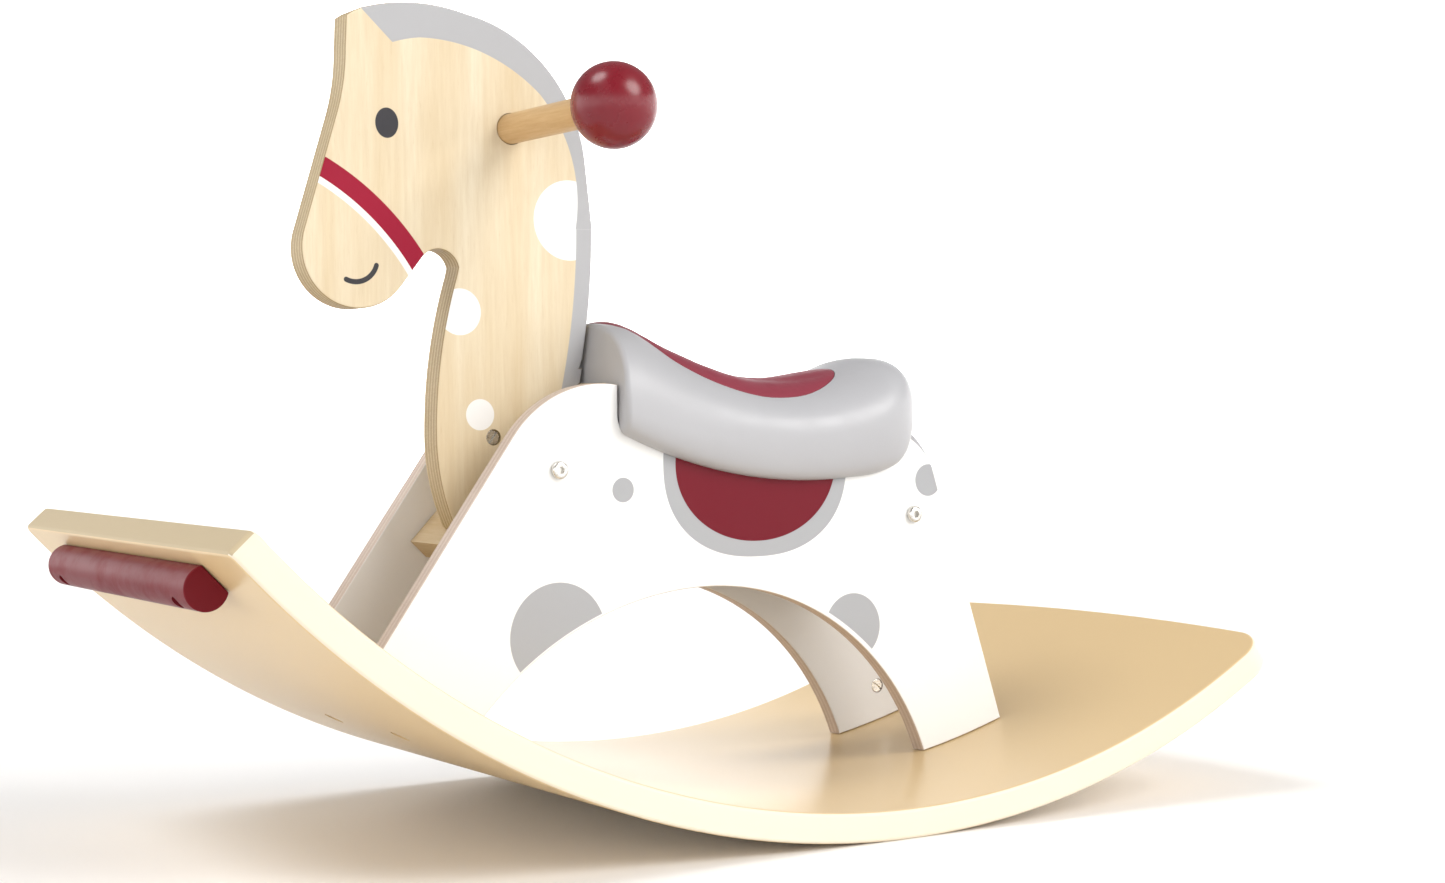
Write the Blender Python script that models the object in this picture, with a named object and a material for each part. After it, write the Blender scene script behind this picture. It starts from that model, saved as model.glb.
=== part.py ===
"""Wooden rocking horse: a bent plywood rocker board that carries two side panels, a plywood head,
a moulded saddle and the bolts, barrel nuts and dowels that hold them together.

Metres, +Z up. The horse faces -Y and is symmetric about X = 0. Points of side outlines are (y, z),
with y measured from the line on which the rocker touches the floor; an empty carries that line to
its place, so that the origin is at the bottom centre of the whole object.
"""

import math

import bmesh
import bpy
from mathutils import Matrix, Vector

# Clearances
GAP = 0.0004              # between two pieces that touch
HOLE_CLEARANCE = 0.0003   # radial, round a bolt, dowel or nut
PEG_END_GAP = 0.0005      # past the end of a dowel in its blind hole

# Rocker board
ROCKER_RADIUS = 0.535     # upper face
ROCKER_THICKNESS = 0.0175
ROCKER_WIDTH = 0.346
ROCKER_FRONT_ANGLE = 47.7  # degrees from straight down
ROCKER_REAR_ANGLE = 33.0
ROCKER_CORNER = 0.024     # rear corners, in plan
ROCKER_FRONT_CORNER = 0.006
ROCKER_REAR_BOW = 0.007   # how far the rear end swells past its corners
ROCKER_EDGE = 0.0025
ROCKER_FLAT = 3.0         # degrees of the facet that the board stands on

# Front bumper, a dowel with one flat
BUMPER_RADIUS = 0.012
BUMPER_FLAT_OFFSET = 0.0066
BUMPER_LENGTH = 0.231
BUMPER_ANGLE = 45.5
BUMPER_SCREW_X = 0.096

# Side panels
PANEL_THICKNESS = 0.012
PANEL_SPACING = 0.081     # clear width between the two panels
PANEL_EDGE = 0.0012
FRONT_TOE = -0.2865       # y where the legs' corners stand on the rocker
FRONT_HEEL = -0.2200
REAR_HEEL = 0.1643
ARCH_TOP = (-0.061, 0.1407)
ARCH_FRONT_RADIUS = 0.207
ARCH_REAR_RADIUS = 0.172
FRONT_EDGE_SLOPE = 54.7
REAR_EDGE_SLOPE = 72.1
SHOULDER_TOP = 0.2635
SHOULDER_RADIUS = 0.072
HIP_RADIUS = 0.050
HIP_HEIGHT = 0.2006       # where the rear edge turns into the hip

# Cradle in the panels' upper edge, which the saddle sits in
CRADLE_RADIUS = 0.320
CRADLE_LOW = (0.015, 0.205)
CRADLE_FRONT = -0.1237
CRADLE_REAR = 0.0888
CRADLE_FRONT_FILLET = 0.012
CRADLE_REAR_FILLET = 0.016

# Head and neck
HEAD_THICKNESS = 0.018
HEAD_EDGE = 0.0015
SKULL_CENTRE = (-0.2132, 0.3875)
SKULL_RADIUS = 0.094
MUZZLE_CENTRE = (-0.2685, 0.341)
MUZZLE_RADIUS = 0.034
THROAT_CENTRE = (-0.2179, 0.3292)
THROAT_RADIUS = 0.0131
FOREHEAD_TOP = (-0.274, 0.4736)
FOREHEAD_BEND = 0.455
FOREHEAD_BEND_RADIUS = 0.130
CROWN_CENTRE = (-0.2285, 0.3639)  # flatter arc over the forehead
CROWN_RADIUS = 0.1203
FORELOCK = ((-0.2640, 0.4789), (-0.2700, 0.4762))
NECK_BACK = (-0.1155, 0.360)
NECK_BACK_RADIUS = 0.450
NECK_FRONT = (-0.2205, 0.234)
NECK_FRONT_RADII = (0.311, 0.133)  # above and below the foremost point
NECK_SHOULDER_HEIGHT = 0.273
NECK_SHOULDER_DEPTH = 0.0022

# Slanted board that the neck stands on
REST_CENTRE = (-0.1638, 0.2132)
REST_SLOPE = 46.0
REST_THICKNESS = 0.014
REST_FRONT_LENGTH = 0.067
NECK_NUT_HEIGHT = 0.0274

# Upright board between the rear legs
BRACE_CENTRE = (0.0935, 0.1795)
BRACE_THICKNESS = 0.014
BRACE_HEIGHT = 0.050

# Battens under the saddle
BATTEN_SIZE = 0.024
BATTEN_PLACES = {"front": -0.085, "rear": 0.052}
BATTEN_DROP = 0.0035      # under the cradle line
SADDLE_SCREW_INSET = 0.0041  # from the inner ends of the battens' dowels
SADDLE_SCREW_GRIP = 0.016  # length in the saddle's boss

# Handle
HANDLE_AXIS = (-0.170, 0.4148)
HANDLE_RADIUS = 0.009
BALL_RADIUS = 0.024
BALL_X = 0.131
BALL_HOLE_DEPTH = 0.023

# Saddle
SADDLE_HALF_WIDTH = 0.0635
SADDLE_REAR = 0.109
SADDLE_REAR_ROUND = 0.051
SADDLE_REAR_POWER = 2.6   # 2 would be a plain ellipse in plan
SADDLE_WALL_TILT = 0.155
SADDLE_WALL = 0.006
SADDLE_CORNER = 0.020     # front lower corner, looser than the panels' fillet
TONGUE_RISE = 0.0093      # the saddle's rear tongue, above the panels' hips
TONGUE_END = 28.0         # degrees round the hip
TONGUE_SIDE_GAP = 0.002
CAVITY_HALF_WIDTH = 0.0455
PAD_CENTRE = -0.0255
PAD_HALF_LENGTH = 0.0865
PAD_HALF_WIDTH = 0.046
PAD_DEPTH = 0.005
PAD_CROWN = 0.005
PAD_BED_GAP = 0.001
BOSS_RADIUS = 0.007

# Hardware
BOLT_RADIUS = 0.003
BOLT_HEAD_RADIUS = 0.00525
BOLT_HEAD_HEIGHT = 0.003
BOLT_SOCKET_RADIUS = 0.0023
PANEL_BOLT_LENGTH = 0.040
NUT_RADIUS = 0.0045
NUT_LENGTH = 0.012
NUT_INSET = 0.022         # from the end of a cross board
LEG_NUT_DEPTH = 0.0105
LEG_NUT_HEIGHT = 0.023    # above the rocker's upper face
LEG_BOLTS = {"front": -0.2545, "rear": 0.1385}  # y where they leave the rocker's upper face
COUNTERBORE_RADIUS = 0.0062
COUNTERBORE_DEPTH = 0.006
BOLT_PAST_NUT = 0.003
SCREW_RADIUS = 0.002
SCREW_HEAD_RADIUS = 0.004
SCREW_HEAD_HEIGHT = 0.0024
DOWEL_RADIUS = 0.004
DOWEL_IN_PANEL = 0.008
DOWEL_IN_BOARD = 0.016
NECK_DOWEL_OFFSET = 0.034
REST_DOWEL_OFFSET = -0.040
BRACE_DOWEL_OFFSET = -0.016

# Worked out from the above
OUTER_RADIUS = ROCKER_RADIUS + ROCKER_THICKNESS
ARC_CENTRE = (0.0, OUTER_RADIUS * math.cos(math.radians(ROCKER_FLAT / 2)))
PANEL_INNER = PANEL_SPACING / 2
PANEL_OUTER = PANEL_INNER + PANEL_THICKNESS
BUMPER_AXIS_RADIUS = OUTER_RADIUS + GAP + BUMPER_FLAT_OFFSET
FRONT_REACH = max(
    BUMPER_AXIS_RADIUS * math.sin(math.radians(BUMPER_ANGLE)) + BUMPER_RADIUS,
    OUTER_RADIUS * math.sin(math.radians(ROCKER_FRONT_ANGLE)),
)
REAR_REACH = OUTER_RADIUS * math.sin(math.radians(ROCKER_REAR_ANGLE))
TOUCH_LINE_Y = (FRONT_REACH - REAR_REACH) / 2
SIDES = ((1, "left"), (-1, "right"))  # the horse's own left is +X


# ---------------------------------------------------------------- plane geometry

def polar(centre, radius, degrees):
    angle = math.radians(degrees)
    return (centre[0] + radius * math.cos(angle), centre[1] + radius * math.sin(angle))


def arc(centre, radius, start, end, count):
    """Points along an arc, both ends included; degrees, anticlockwise when end > start."""
    step = (end - start) / (count - 1)
    return [polar(centre, radius, start + step * i) for i in range(count)]


def direction(start, end):
    """Direction from one point to another, in degrees."""
    return math.degrees(math.atan2(end[1] - start[1], end[0] - start[0]))


def circles_meet(first, first_radius, second, second_radius, side):
    """One of the two points where two circles cross; side is +1 or -1."""
    apart = math.dist(first, second)
    along = (apart ** 2 + first_radius ** 2 - second_radius ** 2) / (2 * apart)
    off = math.sqrt(max(first_radius ** 2 - along ** 2, 0.0))
    ux, uz = (second[0] - first[0]) / apart, (second[1] - first[1]) / apart
    return (first[0] + along * ux - side * off * uz, first[1] + along * uz + side * off * ux)


def rocker_angle(y, radius=ROCKER_RADIUS):
    """Degrees round the rocker, positive to the rear, where an arc of that radius is at y."""
    return math.degrees(math.asin(y / radius))


def on_rocker(degrees, radius):
    """Point round the rocker's centre, degrees from straight down, positive to the rear."""
    return polar(ARC_CENTRE, radius, degrees - 90)


def cradle_height(y):
    """Height of the cradle's arc at y."""
    return CRADLE_LOW[1] + CRADLE_RADIUS - math.sqrt(CRADLE_RADIUS ** 2 - (y - CRADLE_LOW[0]) ** 2)


def cradle_fillet(wall_y, radius):
    """Centre of the fillet between an upright wall and the cradle's arc."""
    centre_y = wall_y + math.copysign(radius, CRADLE_LOW[0] - wall_y)
    reach = CRADLE_RADIUS - radius
    rise = math.sqrt(reach ** 2 - (centre_y - CRADLE_LOW[0]) ** 2)
    return (centre_y, CRADLE_LOW[1] + CRADLE_RADIUS - rise)


def blend(points, value):
    """Smooth height curve through (position, height) pairs: Catmull-Rom between neighbours."""
    last = len(points) - 1
    i = next((k for k in range(last) if value <= points[k + 1][0]), last - 1)
    p0, p1, p2, p3 = points[max(i - 1, 0)], points[i], points[i + 1], points[min(i + 2, last)]
    t = min(max((value - p1[0]) / (p2[0] - p1[0]), 0.0), 1.0)
    span = p2[0] - p1[0]
    m1 = (p2[1] - p0[1]) / (p2[0] - p0[0]) * span
    m2 = (p3[1] - p1[1]) / (p3[0] - p1[0]) * span
    return (
        (2 * t ** 3 - 3 * t ** 2 + 1) * p1[1] + (t ** 3 - 2 * t ** 2 + t) * m1
        + (3 * t ** 2 - 2 * t ** 3) * p2[1] + (t ** 3 - t ** 2) * m2
    )


# ---------------------------------------------------------------- meshes and objects

def clear_scene():
    for obj in list(bpy.data.objects):
        bpy.data.objects.remove(obj, do_unlink=True)


def material(name, color, roughness, metallic=0.0):
    made = bpy.data.materials.new(name)
    made.use_nodes = True
    shader = made.node_tree.nodes["Principled BSDF"]
    shader.inputs["Base Color"].default_value = (*color, 1.0)
    shader.inputs["Roughness"].default_value = roughness
    shader.inputs["Metallic"].default_value = metallic
    return made


def add_object(name, shape, finish=None):
    """Object from a bmesh, parented to the empty on the rocker's touch line."""
    bmesh.ops.recalc_face_normals(shape, faces=shape.faces)
    mesh = bpy.data.meshes.new(name)
    shape.to_mesh(mesh)
    shape.free()
    mesh.shade_smooth()
    mesh.set_sharp_from_angle(angle=math.radians(35))
    obj = bpy.data.objects.new(name, mesh)
    bpy.context.scene.collection.objects.link(obj)
    obj.parent = bpy.data.objects["touch_line"]
    if finish:
        mesh.materials.append(finish)
    return obj


def add_boolean(target, shape, operation="DIFFERENCE"):
    """Cuts a bmesh out of an object, or joins it on, with a hidden helper object."""
    helper = add_object(target.name + "_" + operation.lower(), shape)
    helper.hide_render = True
    helper.display_type = "WIRE"
    modifier = target.modifiers.new(operation.title(), "BOOLEAN")
    modifier.operation = operation
    modifier.object = helper
    return helper


def prism(outline, x_low, x_high, edge=0.0):
    """Plate with a side outline, from x_low to x_high, its two faces' rims rounded by edge."""
    shape = bmesh.new()
    face = shape.faces.new([shape.verts.new((x_low, y, z)) for y, z in outline])
    swept = bmesh.ops.extrude_face_region(shape, geom=[face])["geom"]
    moved = [item for item in swept if isinstance(item, bmesh.types.BMVert)]
    bmesh.ops.translate(shape, verts=moved, vec=(x_high - x_low, 0, 0))
    bmesh.ops.recalc_face_normals(shape, faces=shape.faces)
    if edge:
        rims = [e for e in shape.edges if abs(e.verts[0].co.x - e.verts[1].co.x) < 1e-6]
        bmesh.ops.bevel(shape, geom=rims, offset=edge, segments=1, affect="EDGES")
    return shape


def add_turned(shape, profile, sides, start, axis):
    """Adds a turned solid: profile is (distance along axis, radius) pairs from start."""
    place = Matrix.Translation(start) @ Vector(axis).to_track_quat("Z", "Y").to_matrix().to_4x4()
    rings = []
    for along, radius in profile:
        turn = [2 * math.pi * i / sides for i in range(sides)]
        ring = [Vector((radius * math.cos(a), radius * math.sin(a), along)) for a in turn]
        rings.append([shape.verts.new(place @ point) for point in ring])
    for low, high in zip(rings, rings[1:]):
        for i in range(sides):
            shape.faces.new((low[i - 1], low[i], high[i], high[i - 1]))
    shape.faces.new(rings[0])
    shape.faces.new(rings[-1])


def turned(profile, sides, start, axis):
    shape = bmesh.new()
    add_turned(shape, profile, sides, start, axis)
    return shape


def rods(places, radius, sides=12):
    """Plain cylinders from start to end, as one helper shape."""
    shape = bmesh.new()
    for start, end in places:
        axis = Vector(end) - Vector(start)
        add_turned(shape, ((0, radius), (axis.length, radius)), sides, start, axis)
    return shape


def at(x, point):
    return Vector((x, point[0], point[1]))


def slope_axis(degrees):
    """Unit vector in the side plane."""
    return Vector((0, math.cos(math.radians(degrees)), math.sin(math.radians(degrees))))


# ---------------------------------------------------------------- rocker and bumper

def rocker_half_width(from_front, from_rear):
    """Half width near the two ends, whose corners are rounded in plan."""
    half = ROCKER_WIDTH / 2
    for distance, corner in ((from_front, ROCKER_FRONT_CORNER), (from_rear, ROCKER_CORNER)):
        if distance < corner:
            half -= corner - math.sqrt(corner ** 2 - (corner - distance) ** 2)
    return half


def rocker_stations():
    """Angles of the board's cross-sections, closer together in the rounded corners."""
    def corner_angles(corner):
        shares = (0.0, 0.06, 0.22, 0.5, 1.0)
        return [math.degrees(corner * share / ROCKER_RADIUS) for share in shares]

    front = [-ROCKER_FRONT_ANGLE + a for a in corner_angles(ROCKER_FRONT_CORNER)]
    rear = [ROCKER_REAR_ANGLE - a for a in reversed(corner_angles(ROCKER_CORNER))]
    flat = ROCKER_FLAT / 2
    steps_front, steps_rear = 15, 10
    middle = [front[-1] + (-flat - front[-1]) * i / steps_front for i in range(1, steps_front + 1)]
    middle += [flat + (rear[0] - flat) * i / steps_rear for i in range(steps_rear)]
    return front + middle + rear


def rocker_ring(degrees):
    """Rounded cross-section of the board as (x, radius) pairs, and each point's own angle."""
    front = math.radians(degrees + ROCKER_FRONT_ANGLE) * ROCKER_RADIUS
    rear = math.radians(ROCKER_REAR_ANGLE - degrees) * ROCKER_RADIUS
    half = rocker_half_width(front, rear)
    inner, outer = ROCKER_RADIUS, OUTER_RADIUS
    spread = (-1, -0.6, -0.2, 0.2, 0.6, 1)
    ring = [(s * (half - ROCKER_EDGE), inner) for s in spread]
    ring += [(half - 0.3 * ROCKER_EDGE, inner + 0.3 * ROCKER_EDGE), (half, inner + ROCKER_EDGE)]
    ring += [(half, outer - ROCKER_EDGE), (half - 0.3 * ROCKER_EDGE, outer - 0.3 * ROCKER_EDGE)]
    ring += [(-s * (half - ROCKER_EDGE), outer) for s in spread]
    ring += [(0.3 * ROCKER_EDGE - half, outer - 0.3 * ROCKER_EDGE), (-half, outer - ROCKER_EDGE)]
    ring += [(-half, inner + ROCKER_EDGE), (0.3 * ROCKER_EDGE - half, inner + 0.3 * ROCKER_EDGE)]
    reach = 3 * ROCKER_CORNER
    bow_share = max(0.0, 1 - rear / reach)
    points = []
    for x, radius in ring:
        pulled = ROCKER_REAR_BOW * bow_share * (2 * x / ROCKER_WIDTH) ** 2
        angle = degrees - math.degrees(pulled / ROCKER_RADIUS)
        points.append(at(x, on_rocker(angle, radius)))
    return points


def make_rocker(finish):
    shape = bmesh.new()
    rings = [[shape.verts.new(p) for p in rocker_ring(angle)] for angle in rocker_stations()]
    for low, high in zip(rings, rings[1:]):
        for i in range(len(low)):
            shape.faces.new((low[i - 1], low[i], high[i], high[i - 1]))
    shape.faces.new(rings[0])
    shape.faces.new(rings[-1])
    board = add_object("rocker_board", shape, finish)
    add_boolean(board, leg_bolt_cavities())
    add_boolean(board, bumper_screw_holes())
    return board


def leg_places():
    """(name, x, angle) of the four bolts that come up into the legs."""
    middle = PANEL_INNER + PANEL_THICKNESS / 2
    return [
        (end + "_" + side, sign * middle, rocker_angle(y))
        for end, y in LEG_BOLTS.items() for sign, side in SIDES
    ]


def leg_bolt_cavities():
    shape = bmesh.new()
    clear = BOLT_RADIUS + HOLE_CLEARANCE
    for _, x, angle in leg_places():
        start = at(x, on_rocker(angle, OUTER_RADIUS + COUNTERBORE_DEPTH))
        profile = (
            (0, COUNTERBORE_RADIUS), (2 * COUNTERBORE_DEPTH, COUNTERBORE_RADIUS),
            (2 * COUNTERBORE_DEPTH, clear), (ROCKER_THICKNESS + 2 * COUNTERBORE_DEPTH, clear),
        )
        add_turned(shape, profile, 12, start, slope_axis(angle + 90))
    return shape


def bumper_axis():
    return on_rocker(-BUMPER_ANGLE, BUMPER_AXIS_RADIUS)


def bumper_screw_axis():
    return slope_axis(-BUMPER_ANGLE + 90)


def bumper_screw_span():
    """Distances from the bumper's axis to the screw head's seat and to the screw's tip."""
    seat = -0.35 * BUMPER_RADIUS
    return seat, BUMPER_FLAT_OFFSET + GAP + 0.7 * ROCKER_THICKNESS


def bumper_screw_holes():
    tip = bumper_screw_span()[1] + PEG_END_GAP
    axis = bumper_screw_axis()
    starts = [at(sign * BUMPER_SCREW_X, bumper_axis()) for sign, _ in SIDES]
    return rods([(start, start + axis * tip) for start in starts], SCREW_RADIUS + HOLE_CLEARANCE)


def make_bumper(finish, screw_finish):
    """D-section bar under the front end, its flat against the board, and its two screws."""
    half_flat = math.degrees(math.acos(BUMPER_FLAT_OFFSET / BUMPER_RADIUS))
    towards_board = -BUMPER_ANGLE + 90
    outline = arc(bumper_axis(), BUMPER_RADIUS, towards_board + half_flat,
                  towards_board + 360 - half_flat, 23)
    bumper = add_object(
        "front_bumper", prism(outline, -BUMPER_LENGTH / 2, BUMPER_LENGTH / 2, 0.0008), finish)
    axis = bumper_screw_axis()
    seat, tip = bumper_screw_span()
    cavities = bmesh.new()
    clear = HOLE_CLEARANCE
    for sign, side in SIDES:
        middle = at(sign * BUMPER_SCREW_X, bumper_axis())
        seat_along = BUMPER_RADIUS * 2 + seat
        profile = (
            (0, SCREW_HEAD_RADIUS + clear), (seat_along, SCREW_HEAD_RADIUS + clear),
            (seat_along, SCREW_RADIUS + clear), (4 * BUMPER_RADIUS, SCREW_RADIUS + clear),
        )
        add_turned(cavities, profile, 12, middle - axis * 2 * BUMPER_RADIUS, axis)
        add_screw("bumper_screw_" + side, middle + axis * (seat - GAP), axis,
                  tip - seat, screw_finish)
    add_boolean(bumper, cavities)


# ---------------------------------------------------------------- side panels

def rear_arch_centre():
    return (ARCH_TOP[0], ARCH_TOP[1] - ARCH_REAR_RADIUS)


def rear_foot_toe():
    """Angle round the rocker at which the arch comes down to the rear foot."""
    meet = circles_meet(rear_arch_centre(), ARCH_REAR_RADIUS, ARC_CENTRE, ROCKER_RADIUS - GAP, -1)
    return direction(ARC_CENTRE, meet) + 90


def foot_point(y):
    """Point of a leg's foot, just above the rocker's upper face."""
    radius = ROCKER_RADIUS - GAP
    return on_rocker(rocker_angle(y, radius), radius)


def hip_centre():
    """The hip's centre, from the rear edge's line and the height where it turns."""
    foot = foot_point(REAR_HEEL)
    run = (HIP_HEIGHT - foot[1]) / math.tan(math.radians(REAR_EDGE_SLOPE))
    return polar((foot[0] - run, HIP_HEIGHT), HIP_RADIUS, 270 - REAR_EDGE_SLOPE)


def shoulder_centre():
    """The shoulder's centre: a circle under SHOULDER_TOP that touches the front edge's line."""
    toe = foot_point(FRONT_TOE)
    slope = math.radians(FRONT_EDGE_SLOPE)
    height = SHOULDER_TOP - SHOULDER_RADIUS
    run = (height - toe[1]) / math.tan(slope) + SHOULDER_RADIUS / math.sin(slope)
    return (toe[0] + run, height)


def panel_outline():
    foot_radius = ROCKER_RADIUS - GAP
    front_arch = (ARCH_TOP[0], ARCH_TOP[1] - ARCH_FRONT_RADIUS)
    heel = foot_point(FRONT_HEEL)
    toe = rear_foot_toe()
    feet = [rocker_angle(y, foot_radius) - 90 for y in (FRONT_TOE, FRONT_HEEL, REAR_HEEL)]
    points = arc(ARC_CENTRE, foot_radius, feet[0], feet[1], 4)
    points += arc(front_arch, ARCH_FRONT_RADIUS, direction(front_arch, heel), 90, 14)[1:]
    end = direction(rear_arch_centre(), on_rocker(toe, foot_radius))
    points += arc(rear_arch_centre(), ARCH_REAR_RADIUS, 90, end, 14)[1:]
    points += arc(ARC_CENTRE, foot_radius, toe - 90, feet[2], 4)[1:]
    hip = hip_centre()
    hip_end = math.degrees(math.acos((CRADLE_REAR - hip[0]) / HIP_RADIUS))
    points += arc(hip, HIP_RADIUS, 90 - REAR_EDGE_SLOPE, hip_end, 7)
    circle = (CRADLE_LOW[0], CRADLE_LOW[1] + CRADLE_RADIUS)
    rear, front = (cradle_fillet(y, r) for y, r in
                   ((CRADLE_REAR, CRADLE_REAR_FILLET), (CRADLE_FRONT, CRADLE_FRONT_FILLET)))
    points += arc(rear, CRADLE_REAR_FILLET, 0, direction(circle, rear), 6)
    points += arc(circle, CRADLE_RADIUS, direction(circle, rear), direction(circle, front), 12)[1:]
    points += arc(front, CRADLE_FRONT_FILLET, direction(circle, front), -180, 6)[1:]
    shoulder = shoulder_centre()
    corner = math.degrees(math.acos((CRADLE_FRONT - shoulder[0]) / SHOULDER_RADIUS))
    points += arc(shoulder, SHOULDER_RADIUS, corner, FRONT_EDGE_SLOPE + 90, 10)
    return points


def panel_bolt_places():
    return (("front", REST_CENTRE), ("rear", BRACE_CENTRE))


def make_panels(finish):
    outline = panel_outline()
    for sign, side in SIDES:
        inner, outer = sign * PANEL_INNER, sign * PANEL_OUTER
        x_low, x_high = sorted((inner, outer))
        panel = add_object("side_panel_" + side, prism(outline, x_low, x_high, PANEL_EDGE), finish)
        past = sign * 0.01
        bolts = [(at(outer + past, p), at(inner - past, p)) for _, p in panel_bolt_places()]
        for _, x, angle in leg_places():
            if x * sign > 0:
                low = at(x, on_rocker(angle, ROCKER_RADIUS + 0.005))
                high = at(x, on_rocker(angle, leg_nut_radius() - BOLT_PAST_NUT - PEG_END_GAP
                                       - NUT_RADIUS))
                bolts.append((low, high))
        add_boolean(panel, rods(bolts, BOLT_RADIUS + HOLE_CLEARANCE))
        nuts = [at(inner - past, on_rocker(angle, leg_nut_radius()))
                for _, x, angle in leg_places() if x * sign > 0]
        depth = Vector((sign * LEG_NUT_DEPTH + past, 0, 0))
        add_boolean(panel, rods([(n, n + depth) for n in nuts], NUT_RADIUS + HOLE_CLEARANCE))
        pegs = [(at(inner - past, p), at(inner + sign * (DOWEL_IN_PANEL + PEG_END_GAP), p))
                for _, p, _ in cross_dowel_places()]
        add_boolean(panel, rods(pegs, DOWEL_RADIUS + HOLE_CLEARANCE))


def leg_nut_radius():
    return ROCKER_RADIUS - LEG_NUT_HEIGHT


# ---------------------------------------------------------------- cross members

def rest_point(along, off):
    """Point beside the slanted board's middle: along it and square to it."""
    return polar(polar(REST_CENTRE, along, REST_SLOPE), off, REST_SLOPE + 90)


def brace_point(along, off):
    return polar(polar(BRACE_CENTRE, along, 180 - REAR_EDGE_SLOPE), off, 270 - REAR_EDGE_SLOPE)


def batten_centre(place):
    y = BATTEN_PLACES[place]
    return (y, cradle_height(y) - BATTEN_DROP - BATTEN_SIZE / 2)


def cross_dowel_places():
    """(name, centre, cross member) of the dowels between the panels and what joins them."""
    places = [("rest", rest_point(REST_DOWEL_OFFSET, 0), "rest"),
              ("brace", brace_point(BRACE_DOWEL_OFFSET, 0), "brace")]
    places += [("batten_" + place, batten_centre(place), place) for place in BATTEN_PLACES]
    return places


def board_span():
    return PANEL_INNER - GAP


def end_bolt_holes(centre):
    reach = board_span() + 0.01
    inner = reach - 0.01 + PANEL_THICKNESS - PANEL_BOLT_LENGTH - PEG_END_GAP
    return rods([(at(s * reach, centre), at(s * inner, centre)) for s, _ in SIDES],
                BOLT_RADIUS + HOLE_CLEARANCE)


def end_nut_holes(centre, normal):
    x = board_span() - NUT_INSET
    middle = [at(s * x, centre) for s, _ in SIDES]
    return rods([(m - normal * 0.02, m + normal * 0.02) for m in middle],
                NUT_RADIUS + HOLE_CLEARANCE)


def end_peg_holes(centre):
    reach = board_span() + 0.01
    inner = board_span() - DOWEL_IN_BOARD - PEG_END_GAP
    return rods([(at(s * reach, centre), at(s * inner, centre)) for s, _ in SIDES],
                DOWEL_RADIUS + HOLE_CLEARANCE)


def make_neck_rest(finish):
    """Slanted board; its upper end is cut upright, just in front of the saddle."""
    half = REST_THICKNESS / 2
    end_y = CRADLE_FRONT - 2 * GAP
    upper = [(end_y - REST_CENTRE[0] - off * math.cos(math.radians(REST_SLOPE + 90)))
             / math.cos(math.radians(REST_SLOPE)) for off in (-half, half)]
    outline = [rest_point(-REST_FRONT_LENGTH, -half), rest_point(upper[0], -half),
               rest_point(upper[1], half), rest_point(-REST_FRONT_LENGTH, half)]
    rest = add_object("neck_rest", prism(outline, -board_span(), board_span(), 0.0008), finish)
    normal = slope_axis(REST_SLOPE + 90)
    add_boolean(rest, end_bolt_holes(REST_CENTRE))
    add_boolean(rest, end_nut_holes(REST_CENTRE, normal))
    add_boolean(rest, end_peg_holes(rest_point(REST_DOWEL_OFFSET, 0)))
    bolt = [(at(0, rest_point(0, -2 * REST_THICKNESS)), at(0, rest_point(0, 2 * REST_THICKNESS)))]
    add_boolean(rest, rods(bolt, BOLT_RADIUS + HOLE_CLEARANCE))
    add_boolean(rest, rods([neck_dowel_span(s, PEG_END_GAP, 0.01) for s in (-1, 1)],
                           DOWEL_RADIUS + HOLE_CLEARANCE))


def make_rear_brace(finish):
    half, rise = BRACE_THICKNESS / 2, BRACE_HEIGHT / 2
    outline = [brace_point(-rise, -half), brace_point(-rise, half),
               brace_point(rise, half), brace_point(rise, -half)]
    brace = add_object("rear_brace", prism(outline, -board_span(), board_span(), 0.0008), finish)
    normal = slope_axis(270 - REAR_EDGE_SLOPE)
    add_boolean(brace, end_bolt_holes(BRACE_CENTRE))
    add_boolean(brace, end_nut_holes(BRACE_CENTRE, normal))
    add_boolean(brace, end_peg_holes(brace_point(BRACE_DOWEL_OFFSET, 0)))


def make_battens(finish):
    half = BATTEN_SIZE / 2
    for place in BATTEN_PLACES:
        y, z = batten_centre(place)
        outline = [(y - half, z - half), (y + half, z - half), (y + half, z + half),
                   (y - half, z + half)]
        name = "saddle_batten_" + place
        batten = add_object(name, prism(outline, -board_span(), board_span(), 0.001), finish)
        add_boolean(batten, end_peg_holes((y, z)))
        x = saddle_screw_x()
        holes = [(at(s * x, (y, z - BATTEN_SIZE)), at(s * x, (y, z + BATTEN_SIZE)))
                 for s, _ in SIDES]
        add_boolean(batten, rods(holes, SCREW_RADIUS + HOLE_CLEARANCE))


# ---------------------------------------------------------------- head and handle

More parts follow.
